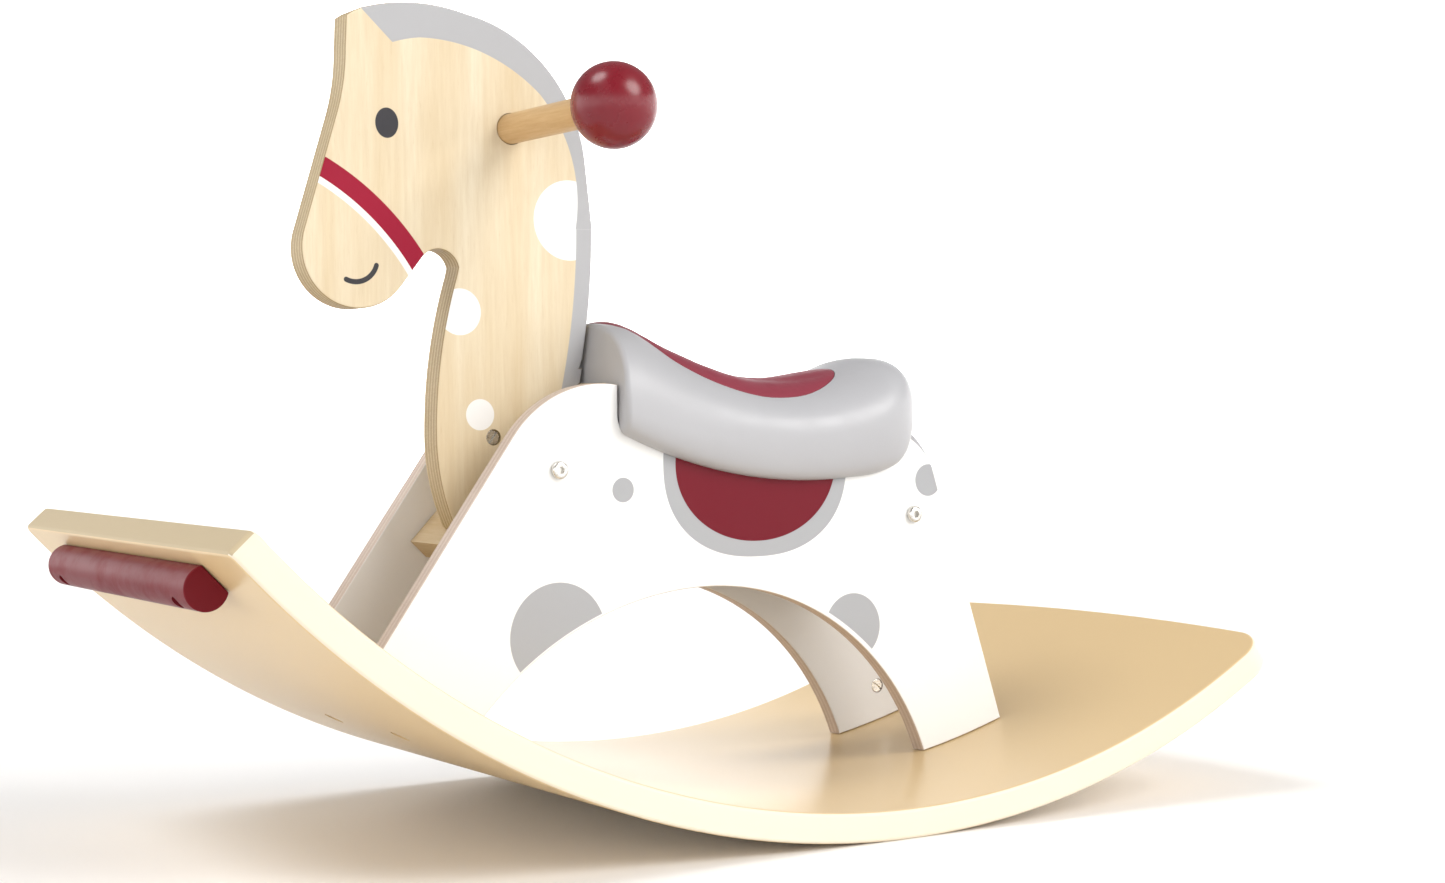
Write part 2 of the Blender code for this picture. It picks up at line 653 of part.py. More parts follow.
def head_outline():
    """Anticlockwise from the foot of the neck, up its back, round the head and down its front."""
    half = REST_THICKNESS / 2 + GAP
    back = (NECK_BACK[0] - NECK_BACK_RADIUS, NECK_BACK[1])
    rest_rise = math.tan(math.radians(REST_SLOPE))
    foot = rest_point(0, half)

    def wall_y(z):
        return CRADLE_FRONT - 2 * GAP + SADDLE_WALL_TILT * max(0.0, z - SHOULDER_TOP)

    low_y = wall_y(0)
    points = [(low_y, foot[1] + (low_y - foot[0]) * rest_rise)]
    points.append((wall_y(NECK_SHOULDER_HEIGHT), NECK_SHOULDER_HEIGHT))
    start = math.degrees(math.asin((NECK_SHOULDER_HEIGHT + 0.002 - back[1]) / NECK_BACK_RADIUS))
    points.append((wall_y(NECK_SHOULDER_HEIGHT) - NECK_SHOULDER_DEPTH, NECK_SHOULDER_HEIGHT))
    points += arc(back, NECK_BACK_RADIUS, start, 0, 7)[1:]
    points += arc(SKULL_CENTRE, SKULL_RADIUS, 5, 80, 14)
    points += arc(CROWN_CENTRE, CROWN_RADIUS, 77, 103.5, 6)
    points += [*FORELOCK, FOREHEAD_TOP]
    bend = (FOREHEAD_TOP[0] - 0.001 - FOREHEAD_BEND_RADIUS, FOREHEAD_BEND)
    lean = direction(muzzle_start(), polar(bend, FOREHEAD_BEND_RADIUS, -17.5)) - 90
    points += arc(bend, FOREHEAD_BEND_RADIUS, 0, lean, 5)
    jaw = jaw_angle()
    points += arc(MUZZLE_CENTRE, MUZZLE_RADIUS, 180 - 17.5, 360 + jaw, 16)
    points += arc(THROAT_CENTRE, THROAT_RADIUS, 180 + jaw, 12, 9)
    upper, lower = NECK_FRONT_RADII
    above = (NECK_FRONT[0] + upper, NECK_FRONT[1])
    top = math.degrees(math.asin((THROAT_CENTRE[1] - 0.002 - NECK_FRONT[1]) / upper))
    points += arc(above, upper, 180 - top, 180, 7)
    below = (NECK_FRONT[0] + lower, NECK_FRONT[1])
    points += arc(below, lower, 180, 180 + 24, 6)[1:]
    tip_y = points[-1][0] + 0.0015
    points.append((tip_y, foot[1] + (tip_y - foot[0]) * rest_rise))
    return points


def muzzle_start():
    return polar(MUZZLE_CENTRE, MUZZLE_RADIUS, 180 - 17.5)


def jaw_angle():
    """Direction, from the muzzle's centre, of the line that runs from the chin to the throat."""
    apart = math.dist(MUZZLE_CENTRE, THROAT_CENTRE)
    line = direction(MUZZLE_CENTRE, THROAT_CENTRE)
    return line - math.degrees(math.acos((MUZZLE_RADIUS + THROAT_RADIUS) / apart))


def neck_dowel_span(sign, end_gap=0.0, past=0.0):
    """Ends of a dowel between the slanted board and the neck."""
    along = sign * NECK_DOWEL_OFFSET
    low = -REST_THICKNESS / 2 + 0.005 - end_gap
    high = REST_THICKNESS / 2 + DOWEL_IN_BOARD + end_gap
    return at(0, rest_point(along, low)), at(0, rest_point(along, max(high, past)))


def neck_nut_centre():
    return rest_point(0, NECK_NUT_HEIGHT)


def make_head(finish):
    half = HEAD_THICKNESS / 2
    head = add_object("head_panel", prism(head_outline(), -half, half, HEAD_EDGE), finish)
    add_boolean(head, rods([(at(-0.02, HANDLE_AXIS), at(0.02, HANDLE_AXIS))],
                           HANDLE_RADIUS + HOLE_CLEARANCE, 24))
    nut = neck_nut_centre()
    add_boolean(head, rods([(at(-0.02, nut), at(0.02, nut))], NUT_RADIUS + HOLE_CLEARANCE))
    bolt_end = NECK_NUT_HEIGHT + NUT_RADIUS + BOLT_PAST_NUT + PEG_END_GAP
    add_boolean(head, rods([(at(0, rest_point(0, 0)), at(0, rest_point(0, bolt_end)))],
                           BOLT_RADIUS + HOLE_CLEARANCE))
    add_boolean(head, rods([neck_dowel_span(s, PEG_END_GAP) for s in (-1, 1)],
                           DOWEL_RADIUS + HOLE_CLEARANCE))


def make_handle(bar_finish, ball_finish):
    end = BALL_X - BALL_RADIUS + BALL_HOLE_DEPTH - PEG_END_GAP
    shape = turned(((0, HANDLE_RADIUS), (2 * end, HANDLE_RADIUS)), 24,
                   at(-end, HANDLE_AXIS), (1, 0, 0))
    add_object("handle_bar", shape, bar_finish)
    for sign, side in SIDES:
        turns = [180 * i / 14 for i in range(1, 14)]
        profile = [(BALL_RADIUS * (1 - math.cos(math.radians(t))),
                    BALL_RADIUS * math.sin(math.radians(t))) for t in turns]
        start = at(sign * (BALL_X - BALL_RADIUS), HANDLE_AXIS)
        ball = add_object("handle_ball_" + side,
                          turned(profile, 24, start, (sign, 0, 0)), ball_finish)
        hole = rods([(start - Vector((sign * 0.01, 0, 0)),
                      start + Vector((sign * BALL_HOLE_DEPTH, 0, 0)))],
                    HANDLE_RADIUS + HOLE_CLEARANCE, 24)
        add_boolean(ball, hole)


# ---------------------------------------------------------------- saddle

SADDLE_CREST = ((-0.1237, 0.3005), (-0.106, 0.3000), (-0.092, 0.2945), (-0.076, 0.2855),
                (-0.048, 0.2735), (-0.018, 0.2645), (0.005, 0.2625), (0.023, 0.2635),
                (0.050, 0.2695), (0.066, 0.2750), (0.078, 0.2795), (0.090, 0.2805),
                (0.100, 0.2780), (0.109, 0.2640))
SADDLE_MIDDLE = ((-0.1237, 0.2480), (-0.090, 0.2370), (-0.048, 0.2310), (0.005, 0.2290),
                 (0.050, 0.2330), (0.085, 0.2440), (0.109, 0.2520))
SADDLE_ROUNDNESS = 2.25


def saddle_half_width(y):
    start = SADDLE_REAR - SADDLE_REAR_ROUND
    if y <= start:
        return SADDLE_HALF_WIDTH
    share = min((y - start) / SADDLE_REAR_ROUND, 1.0)
    return SADDLE_HALF_WIDTH * (1 - share ** SADDLE_REAR_POWER) ** (1 / SADDLE_REAR_POWER)


def saddle_bottom(y):
    """Underside: just above the panels' cradle, and rising behind it over the hips."""
    front = cradle_fillet(CRADLE_FRONT, SADDLE_CORNER)
    rear = cradle_fillet(CRADLE_REAR, CRADLE_REAR_FILLET)
    if y < front[0]:
        drop = math.sqrt(max(0.0, SADDLE_CORNER ** 2 - (y - front[0]) ** 2))
        return front[1] - drop + 2 * GAP
    if y > rear[0]:
        run = min(y - rear[0], CRADLE_REAR_FILLET)
        height = rear[1] - math.sqrt(max(0.0, CRADLE_REAR_FILLET ** 2 - run ** 2))
        over = max(0.0, y - rear[0] - CRADLE_REAR_FILLET + 0.002)
        return height + 2 * GAP + min(over * 3, 0.009)
    return cradle_height(y) + 2 * GAP


def saddle_top(x, y, lowered=0.0, narrowed=0.0):
    """Height of the saddle's upper surface over a point."""
    middle = blend(SADDLE_MIDDLE, y)
    crest = blend(SADDLE_CREST, y) - lowered
    share = min(abs(x) / max(saddle_half_width(y) - narrowed, 1e-4), 1.0)
    lift = (1 - share ** SADDLE_ROUNDNESS) ** (1 / SADDLE_ROUNDNESS)
    return middle + (crest - middle) * lift


def saddle_ring(y, inset):
    """Cross-section at y, from the bottom centre up the +X side and down the -X side."""
    half = max(saddle_half_width(y) - inset, 0.004)
    middle, bottom = blend(SADDLE_MIDDLE, y), saddle_bottom(y)
    crest = blend(SADDLE_CREST, y) - inset
    power = 2 / SADDLE_ROUNDNESS
    side = []
    for share in (0.0, 0.4, 0.68, 0.84):
        side.append((half * share, bottom))
    for angle in (-60, -30, 0, 14, 28, 42, 56, 70, 82):
        turn = math.radians(angle)
        wide = half * math.cos(turn) ** (power if angle >= 0 else 0.3)
        reach = crest - middle if angle >= 0 else bottom - middle
        side.append((wide, middle + reach * abs(math.sin(turn)) ** power))
    side.append((0.0, crest))
    return side + [(-x, z) for x, z in reversed(side[1:-1])]


def saddle_stations():
    front, rear = CRADLE_FRONT + 2 * GAP, SADDLE_REAR
    start = rear - SADDLE_REAR_ROUND
    ends = [front, front + 0.0015, front + 0.005, front + 0.012]
    flat = [ends[-1] + (start - ends[-1]) * i / 9 for i in range(1, 10)]
    swept = [start + SADDLE_REAR_ROUND * math.sin(math.radians(a)) for a in (*range(12, 85, 9), 88)]
    return ends + flat + swept


def saddle_block():
    """The saddle's outer form, a loft of rings with a flat, tilted front wall."""
    shape = bmesh.new()
    rings = []
    stations = saddle_stations()
    for y in stations:
        inset = max(0.0, 0.0035 - 2.2 * (y - stations[0]))
        fade = max(0.0, 1 - (y - stations[0]) / 0.05)
        ring = saddle_ring(y, inset)
        rings.append([shape.verts.new(
            (x, y + SADDLE_WALL_TILT * fade * max(0.0, z - SHOULDER_TOP), z)) for x, z in ring])
    for low, high in zip(rings, rings[1:]):
        for i in range(len(low)):
            shape.faces.new((low[i - 1], low[i], high[i], high[i - 1]))
    shape.faces.new(rings[0])
    shape.faces.new(rings[-1])
    return shape


def tongue_outline():
    """Lip at the back of the saddle that curves down over the hips, between the panels."""
    hip = hip_centre()
    outer = HIP_RADIUS + TONGUE_RISE
    return arc(hip, outer, 80, TONGUE_END, 12) + arc(hip, outer - SADDLE_WALL, TONGUE_END, 80, 12)


def saddle_cavity():
    """Hollow under the saddle, open below and narrower than the panels are apart outside."""
    shape = bmesh.new()
    rings = []
    front = CRADLE_FRONT + SADDLE_WALL + 0.008
    rear = CRADLE_REAR - CRADLE_REAR_FILLET
    narrowed = SADDLE_HALF_WIDTH - CAVITY_HALF_WIDTH
    for i in range(9):
        y = front + (rear - front) * i / 8
        half = CAVITY_HALF_WIDTH
        xs = [half * s for s in (-1, -0.85, -0.6, -0.3, 0, 0.3, 0.6, 0.85, 1)]
        roof = [(x, saddle_top(x * 0.8, y, PAD_DEPTH + SADDLE_WALL, narrowed) - 0.002) for x in xs]
        low = saddle_bottom(y) - 0.02
        ring = [(-half, low), *roof, (half, low)]
        rings.append([shape.verts.new((x, y, z)) for x, z in ring])
    for low, high in zip(rings, rings[1:]):
        for i in range(len(low)):
            shape.faces.new((low[i - 1], low[i], high[i], high[i - 1]))
    shape.faces.new(rings[0])
    shape.faces.new(rings[-1])
    return shape


def pad_shape(grow, below, above):
    """The pad, or with grow the recess for it: a domed oval with a flat-bottomed rim."""
    shape = bmesh.new()
    turns = [2 * math.pi * i / 28 for i in range(28)]

    def ring(share, offset):
        made = []
        for turn in turns:
            c, s = math.cos(turn), math.sin(turn)
            x = (PAD_HALF_WIDTH + grow) * share * math.copysign(abs(c) ** 0.85, c)
            y = PAD_CENTRE + (PAD_HALF_LENGTH + grow) * share * math.copysign(abs(s) ** 0.85, s)
            dome = above * (1 - share ** 2.4) if offset > 0 else -below
            rim = above if grow and offset > 0 else dome
            made.append(shape.verts.new((x, y, saddle_top(x, y) + rim)))
        return made

    tops = [ring(share, 1) for share in (1.0, 0.97, 0.88, 0.66, 0.36)]
    bottoms = [ring(share, -1) for share in (1.0, 0.66, 0.36)]
    order = list(reversed(tops)) + bottoms
    for low, high in zip(order, order[1:]):
        for i in range(len(low)):
            shape.faces.new((low[i - 1], low[i], high[i], high[i - 1]))
    for end in (order[0], order[-1]):
        bmesh.ops.poke(shape, faces=[shape.faces.new(end)])
    return shape


def saddle_screw_x():
    return board_span() - DOWEL_IN_BOARD - SADDLE_SCREW_INSET


def saddle_screw_places():
    """(name, x, y) of the screws that come up through the battens."""
    return [(place + "_" + side, sign * saddle_screw_x(), BATTEN_PLACES[place])
            for place in BATTEN_PLACES for sign, side in SIDES]


def make_saddle(shell_finish, pad_finish, screw_finish):
    shell = add_object("saddle_shell", saddle_block(), shell_finish)
    add_boolean(shell, saddle_cavity())
    bosses, pilots = [], []
    for name, x, y in saddle_screw_places():
        seat = batten_centre(name.split("_")[0])[1] + BATTEN_SIZE / 2
        roof = saddle_top(x, y) - PAD_DEPTH - 0.0025
        bosses.append((at(x, (y, seat + GAP)), at(x, (y, roof))))
        tip = seat + SADDLE_SCREW_GRIP
        pilots.append((at(x, (y, seat - 0.005)), at(x, (y, tip + PEG_END_GAP))))
        head = seat - BATTEN_SIZE - GAP
        add_screw("saddle_screw_" + name, at(x, (y, head)), Vector((0, 0, 1)),
                  tip - head, screw_finish)
    add_boolean(shell, rods(bosses, BOSS_RADIUS, 16), "UNION")
    reach = PANEL_INNER - TONGUE_SIDE_GAP
    add_boolean(shell, prism(tongue_outline(), -reach, reach, 0.001), "UNION")
    add_boolean(shell, rods(pilots, SCREW_RADIUS + HOLE_CLEARANCE))
    add_boolean(shell, pad_shape(GAP, PAD_DEPTH + PAD_BED_GAP, 0.02))
    add_object("saddle_pad", pad_shape(0.0, PAD_DEPTH, PAD_CROWN), pad_finish)


# ---------------------------------------------------------------- fasteners

def add_screw(name, seat, axis, length, finish):
    """Pan-head screw: the head's underside is at seat, the shank runs along axis."""
    profile = (
        (-SCREW_HEAD_HEIGHT, 0.55 * SCREW_HEAD_RADIUS), (-0.55 * SCREW_HEAD_HEIGHT,
                                                         0.9 * SCREW_HEAD_RADIUS),
        (0, SCREW_HEAD_RADIUS), (0, SCREW_RADIUS), (length - 0.003, SCREW_RADIUS),
        (length, 0.3 * SCREW_RADIUS),
    )
    return add_object(name, turned(profile, 12, seat, axis), finish)


def add_bolt(name, seat, axis, length, finish):
    """Round-headed bolt with a hexagon socket; the head's underside is at seat."""
    high = BOLT_HEAD_HEIGHT
    profile = (
        (-high, 0.62 * BOLT_HEAD_RADIUS), (-0.75 * high, 0.85 * BOLT_HEAD_RADIUS),
        (-0.3 * high, BOLT_HEAD_RADIUS), (0, BOLT_HEAD_RADIUS), (0, BOLT_RADIUS),
        (length, BOLT_RADIUS),
    )
    bolt = add_object(name, turned(profile, 12, seat, axis), finish)
    socket = turned(((-2 * high, BOLT_SOCKET_RADIUS), (-0.35 * high, BOLT_SOCKET_RADIUS)),
                    6, seat, axis)
    add_boolean(bolt, socket)


def add_nut(name, middle, axis, length, bolt_point, bolt_axis, finish):
    """Barrel nut: a short round bar, with the bolt's hole across it and a slot in its end."""
    start = middle - axis * length / 2
    nut = add_object(name, turned(((0, NUT_RADIUS), (length, NUT_RADIUS)), 16, start, axis), finish)
    add_boolean(nut, rods([(bolt_point - bolt_axis * 0.01, bolt_point + bolt_axis * 0.01)],
                          BOLT_RADIUS + HOLE_CLEARANCE))


def make_fasteners(finish):
    side = Vector((1, 0, 0))
    normals = {"front": slope_axis(REST_SLOPE + 90), "rear": slope_axis(270 - REAR_EDGE_SLOPE)}
    for place, centre in panel_bolt_places():
        for sign, name in SIDES:
            add_bolt("panel_bolt_%s_%s" % (place, name), at(sign * (PANEL_OUTER + GAP), centre),
                     -sign * side, PANEL_BOLT_LENGTH, finish)
            middle = at(sign * (board_span() - NUT_INSET), centre)
            add_nut("panel_nut_%s_%s" % (place, name), middle, normals[place], NUT_LENGTH,
                    middle, side, finish)
    for name, x, angle in leg_places():
        axis = slope_axis(angle + 90)
        seat_radius = OUTER_RADIUS - COUNTERBORE_DEPTH + GAP
        length = seat_radius - leg_nut_radius() + NUT_RADIUS + BOLT_PAST_NUT
        add_bolt("leg_bolt_" + name, at(x, on_rocker(angle, seat_radius)), axis, length, finish)
        sign = math.copysign(1, x)
        nut_length = LEG_NUT_DEPTH - 2 * GAP
        place = on_rocker(angle, leg_nut_radius())
        middle = at(sign * (PANEL_INNER + nut_length / 2 + GAP), place)
        add_nut("leg_nut_" + name, middle, side, nut_length, at(x, place), axis, finish)
    up = slope_axis(REST_SLOPE + 90)
    seat = rest_point(0, -REST_THICKNESS / 2 - GAP)
    length = REST_THICKNESS / 2 + GAP + NECK_NUT_HEIGHT + NUT_RADIUS + BOLT_PAST_NUT
    add_bolt("neck_bolt", at(0, seat), up, length, finish)
    middle = at(0, neck_nut_centre())
    add_nut("neck_nut", middle, side, HEAD_THICKNESS - 2 * HEAD_EDGE, middle, up, finish)


def make_dowels(finish):
    for name, centre, _ in cross_dowel_places():
        for sign, side in SIDES:
            inner = board_span() - DOWEL_IN_BOARD
            outer = PANEL_INNER + DOWEL_IN_PANEL
            ends = [(at(sign * inner, centre), at(sign * outer, centre))]
            add_object("%s_dowel_%s" % (name, side), rods(ends, DOWEL_RADIUS), finish)
    for sign, name in ((-1, "lower"), (1, "upper")):
        add_object("neck_dowel_" + name, rods([neck_dowel_span(sign)], DOWEL_RADIUS), finish)


def main():
    clear_scene()
    touch_line = bpy.data.objects.new("touch_line", None)
    touch_line.location = (0, TOUCH_LINE_Y, 0)
    bpy.context.scene.collection.objects.link(touch_line)

    plywood = material("plywood", (0.86, 0.72, 0.48), 0.45)
    rocker_ply = material("rocker_plywood", (0.84, 0.66, 0.40), 0.40)
    white = material("white_lacquer", (0.90, 0.90, 0.89), 0.40)
    inner_wood = material("cross_wood", (0.78, 0.66, 0.50), 0.60)
    peg_wood = material("beech", (0.75, 0.55, 0.33), 0.60)
    red = material("red_lacquer", (0.27, 0.014, 0.027), 0.20)
    dull_red = material("bumper_red", (0.21, 0.042, 0.055), 0.50)
    shell = material("saddle_grey", (0.58, 0.58, 0.60), 0.45)
    rose = material("pad_rose", (0.40, 0.10, 0.13), 0.60)
    steel = material("nickel", (0.75, 0.74, 0.72), 0.25, 1.0)

    make_rocker(rocker_ply)
    make_bumper(dull_red, steel)
    make_panels(white)
    make_neck_rest(inner_wood)
    make_rear_brace(inner_wood)
    make_battens(inner_wood)
    make_head(plywood)
    make_handle(peg_wood, red)
    make_saddle(shell, rose, steel)
    make_fasteners(steel)
    make_dowels(peg_wood)


main()
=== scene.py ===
import math

import bmesh
import bpy
from mathutils import Matrix, Vector


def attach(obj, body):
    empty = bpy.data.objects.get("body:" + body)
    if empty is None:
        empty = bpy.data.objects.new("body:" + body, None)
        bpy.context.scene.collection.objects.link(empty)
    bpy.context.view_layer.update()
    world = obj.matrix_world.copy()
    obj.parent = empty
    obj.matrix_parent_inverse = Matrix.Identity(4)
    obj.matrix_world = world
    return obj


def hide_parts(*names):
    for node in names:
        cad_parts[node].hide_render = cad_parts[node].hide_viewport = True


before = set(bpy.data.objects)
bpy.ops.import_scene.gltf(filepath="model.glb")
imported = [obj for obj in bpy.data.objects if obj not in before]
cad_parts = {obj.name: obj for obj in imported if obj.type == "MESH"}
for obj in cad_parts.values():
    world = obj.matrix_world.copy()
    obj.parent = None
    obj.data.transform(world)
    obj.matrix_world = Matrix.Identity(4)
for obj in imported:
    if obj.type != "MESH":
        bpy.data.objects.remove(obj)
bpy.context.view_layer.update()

# Plane points are (y, z), in metres, with y counted from the line where the rocker touches the
# floor. The horse faces -Y and its left side is +X.
board = {"radius": 0.535, "thickness": 0.0175, "width": 0.346, "frontAngle": 47.7, "rearAngle": 33.0,
         "rearCorner": 0.024, "frontCorner": 0.006, "rearBow": 0.007, "edge": 0.0025, "flat": 3.0,
         "slices": 132}
bumper = {"radius": 0.012, "flatOffset": 0.0066, "length": 0.231, "angle": 45.5, "screwX": 0.096,
          "edge": 0.0009, "sides": 64}
hairline = 0.0004  # between two pieces that touch
underRadius = board["radius"] + board["thickness"]
arcCentre = (0.0, underRadius * math.cos(math.radians(board["flat"] / 2)))
bumperRadius = underRadius + hairline + bumper["flatOffset"]
frontReach = bumperRadius * math.sin(math.radians(bumper["angle"])) + bumper["radius"]
touchY = (frontReach - underRadius * math.sin(math.radians(board["rearAngle"]))) / 2
bothSides = ((1, "left"), (-1, "right"))


# plane geometry
def polar(centre, radius, degrees):
    angle = math.radians(degrees)
    return (centre[0] + radius * math.cos(angle), centre[1] + radius * math.sin(angle))


def arcPoints(centre, radius, start, end, count):
    step = (end - start) / (count - 1)
    return [polar(centre, radius, start + step * i) for i in range(count)]


def heading(start, end):
    return math.degrees(math.atan2(end[1] - start[1], end[0] - start[0]))


def circlesMeet(first, firstRadius, second, secondRadius, side):
    apart = math.dist(first, second)
    along = (apart ** 2 + firstRadius ** 2 - secondRadius ** 2) / (2 * apart)
    off = math.sqrt(max(firstRadius ** 2 - along ** 2, 0.0))
    uy, uz = (second[0] - first[0]) / apart, (second[1] - first[1]) / apart
    return (first[0] + along * uy - side * off * uz, first[1] + along * uz + side * off * uy)


def onRocker(degrees, radius):  # degrees from straight down, positive to the rear
    return polar(arcCentre, radius, degrees - 90)


def rockerAngle(y, radius=board["radius"]):
    return math.degrees(math.asin(y / radius))


def smoothCurve(points, value):  # height at a position, through (position, height) pairs
    last = len(points) - 1
    i = next((k for k in range(last) if value <= points[k + 1][0]), last - 1)
    before, start, end, after = (points[max(i - 1, 0)], points[i], points[i + 1],
                                 points[min(i + 2, last)])
    t = min(max((value - start[0]) / (end[0] - start[0]), 0.0), 1.0)
    span = end[0] - start[0]
    slopeIn = (end[1] - before[1]) / (end[0] - before[0]) * span
    slopeOut = (after[1] - start[1]) / (after[0] - start[0]) * span
    return ((2 * t ** 3 - 3 * t ** 2 + 1) * start[1] + (t ** 3 - 2 * t ** 2 + t) * slopeIn
            + (3 * t ** 2 - 2 * t ** 3) * end[1] + (t ** 3 - t ** 2) * slopeOut)


def inPlace(x, point):
    return Vector((x, point[0] + touchY, point[1]))


def slopeAxis(degrees):
    return Vector((0, math.cos(math.radians(degrees)), math.sin(math.radians(degrees))))


# modelling
weldWithin = 0.000002


def onlySelect(obj):
    if bpy.context.mode != "OBJECT":
        bpy.ops.object.mode_set(mode="OBJECT")
    bpy.ops.object.select_all(action="DESELECT")
    obj.select_set(True)
    bpy.context.view_layer.objects.active = obj


def editMode(obj):
    onlySelect(obj)
    bpy.ops.object.mode_set(mode="EDIT")
    bpy.ops.mesh.select_all(action="SELECT")


def objectMode():
    bpy.ops.object.mode_set(mode="OBJECT")


def choose(obj, kind, test):  # in edit mode, selects the verts, edges or faces that pass
    bpy.ops.mesh.select_mode(type=kind)
    bpy.ops.mesh.select_all(action="DESELECT")
    shape = bmesh.from_edit_mesh(obj.data)
    for item in {"VERT": shape.verts, "EDGE": shape.edges, "FACE": shape.faces}[kind]:
        if test(item):
            item.select_set(True)
    bmesh.update_edit_mesh(obj.data)


def modify(obj, kind, **settings):
    onlySelect(obj)
    modifier = obj.modifiers.new(kind.title(), kind)
    for name, value in settings.items():
        setattr(modifier, name, value)
    bpy.ops.object.modifier_apply(modifier=modifier.name)


def smooth(obj, degrees=35):
    onlySelect(obj)
    bpy.ops.object.shade_smooth_by_angle(angle=math.radians(degrees))
    modify(obj, "WEIGHTED_NORMAL", mode="FACE_AREA", weight=100, keep_sharp=True)


def combine(obj, tool, operation="DIFFERENCE"):
    modify(obj, "BOOLEAN", operation=operation, object=tool, solver="EXACT")
    bpy.data.objects.remove(tool, do_unlink=True)


def plate(name, outline, xLow, xHigh, edge=0.0, segments=4):
    # a disc with one corner for each point of the outline, drawn out to the plate's thickness
    bpy.ops.object.select_all(action="DESELECT")
    bpy.ops.mesh.primitive_circle_add(vertices=len(outline), fill_type="NGON")
    made = bpy.context.object
    made.name = made.data.name = name
    for vert, point in zip(made.data.vertices, outline):
        vert.co = inPlace(xLow, point)
    editMode(made)
    bpy.ops.mesh.extrude_region_move(TRANSFORM_OT_translate={"value": (xHigh - xLow, 0, 0)})
    bpy.ops.mesh.select_all(action="SELECT")
    bpy.ops.mesh.normals_make_consistent(inside=False)
    if edge:
        choose(made, "EDGE", lambda e: abs(e.verts[0].co.x - e.verts[1].co.x) < 1e-6)
        bpy.ops.mesh.bevel(offset=edge, segments=segments, affect="EDGES")
    objectMode()
    return made


def rod(start, end, radius, sides=32, name="rod"):
    axis = Vector(end) - Vector(start)
    bpy.ops.object.select_all(action="DESELECT")
    bpy.ops.mesh.primitive_cylinder_add(
        vertices=sides, radius=radius, depth=axis.length, location=(Vector(start) + Vector(end)) / 2,
        rotation=axis.to_track_quat("Z", "Y").to_euler())
    made = bpy.context.object
    made.name = made.data.name = name
    bpy.ops.object.transform_apply(location=True, rotation=True, scale=True)
    return made


def wrapped(name, across, along, place, caps=True):
    # a grid laid round a form: place gives each point from its shares across and along
    bpy.ops.object.select_all(action="DESELECT")
    bpy.ops.mesh.primitive_grid_add(x_subdivisions=across, y_subdivisions=along, size=2)
    made = bpy.context.object
    made.name = made.data.name = name
    for vert in made.data.vertices:
        vert.co = place((vert.co.x + 1) / 2, (vert.co.y + 1) / 2)
    editMode(made)
    bpy.ops.mesh.remove_doubles(threshold=weldWithin)
    if caps:
        bpy.ops.mesh.select_all(action="DESELECT")
        bpy.ops.mesh.select_mode(type="EDGE")
        bpy.ops.mesh.select_non_manifold()
        bpy.ops.mesh.fill_holes(sides=0)
    bpy.ops.mesh.select_all(action="SELECT")
    bpy.ops.mesh.normals_make_consistent(inside=False)
    objectMode()
    return made


def copied(source, name, matrix):
    made = source.copy()
    made.data = source.data.copy()
    made.name = made.data.name = name
    bpy.context.scene.collection.objects.link(made)
    made.data.transform(matrix)
    return made


def dressed(obj, finishes, pick=None):
    # gives a piece its finishes; pick says which one a face takes, from its middle and normal
    obj.data.materials.clear()
    for finish in finishes:
        obj.data.materials.append(finish)
    if pick:
        for face in obj.data.polygons:
            face.material_index = pick(face.center, face.normal)


def finished(obj, slot, *nodes):
    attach(obj, "root")
    if nodes:
        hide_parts(*nodes)
    return obj


# material nodes
def newFinish(name, **settings):
    made = bpy.data.materials.new(name)
    made.use_nodes = True
    shader = made.node_tree.nodes["Principled BSDF"]
    for key, value in settings.items():
        shader.inputs[key.replace("_", " ")].default_value = value
    return made, made.node_tree, shader


def node(tree, kind, inputs=None, output=0, **settings):
    made = tree.nodes.new(kind)
    for name, value in settings.items():
        setattr(made, name, value)
    for key, value in (inputs or {}).items():
        if isinstance(value, bpy.types.NodeSocket):
            tree.links.new(value, made.inputs[key])
        else:
            made.inputs[key].default_value = value
    return made.outputs[output]


def sums(tree, operation, first, second=0.0, third=0.0, clamp=False):
    return node(tree, "ShaderNodeMath", {0: first, 1: second, 2: third},
                operation=operation, use_clamp=clamp)


def mixed(tree, share, first, second):
    made = tree.nodes.new("ShaderNodeMix")
    made.data_type = "RGBA"
    for index, value in ((0, share), (6, first), (7, second)):
        if isinstance(value, bpy.types.NodeSocket):
            tree.links.new(value, made.inputs[index])
        else:
            made.inputs[index].default_value = value
    return made.outputs[2]


def colour(text):  # "#rrggbb" to a linear colour
    parts = [int(text[i:i + 2], 16) / 255 for i in (1, 3, 5)]
    return (*(p / 12.92 if p <= 0.04045 else ((p + 0.055) / 1.055) ** 2.4 for p in parts), 1.0)


def noise(tree, place, scale, detail=4.0, roughness=0.5, distortion=0.0):
    return node(tree, "ShaderNodeTexNoise",
                {"Vector": place, "Scale": scale, "Detail": detail, "Roughness": roughness,
                 "Distortion": distortion})


def spread(tree, value, low, high, fromLow=0.3, fromHigh=0.7):
    return node(tree, "ShaderNodeMapRange",
                {"Value": value, "From Min": fromLow, "From Max": fromHigh,
                 "To Min": low, "To Max": high})


def stretched(tree, place, scale):
    return node(tree, "ShaderNodeMapping", {"Vector": place, "Scale": scale})


def objectPlace(tree):
    return node(tree, "ShaderNodeTexCoord", output=3)


def bumped(tree, shader, height, strength, distance):
    bump = node(tree, "ShaderNodeBump", {"Height": height, "Strength": strength, "Distance": distance})
    tree.links.new(bump, shader.inputs["Normal"])


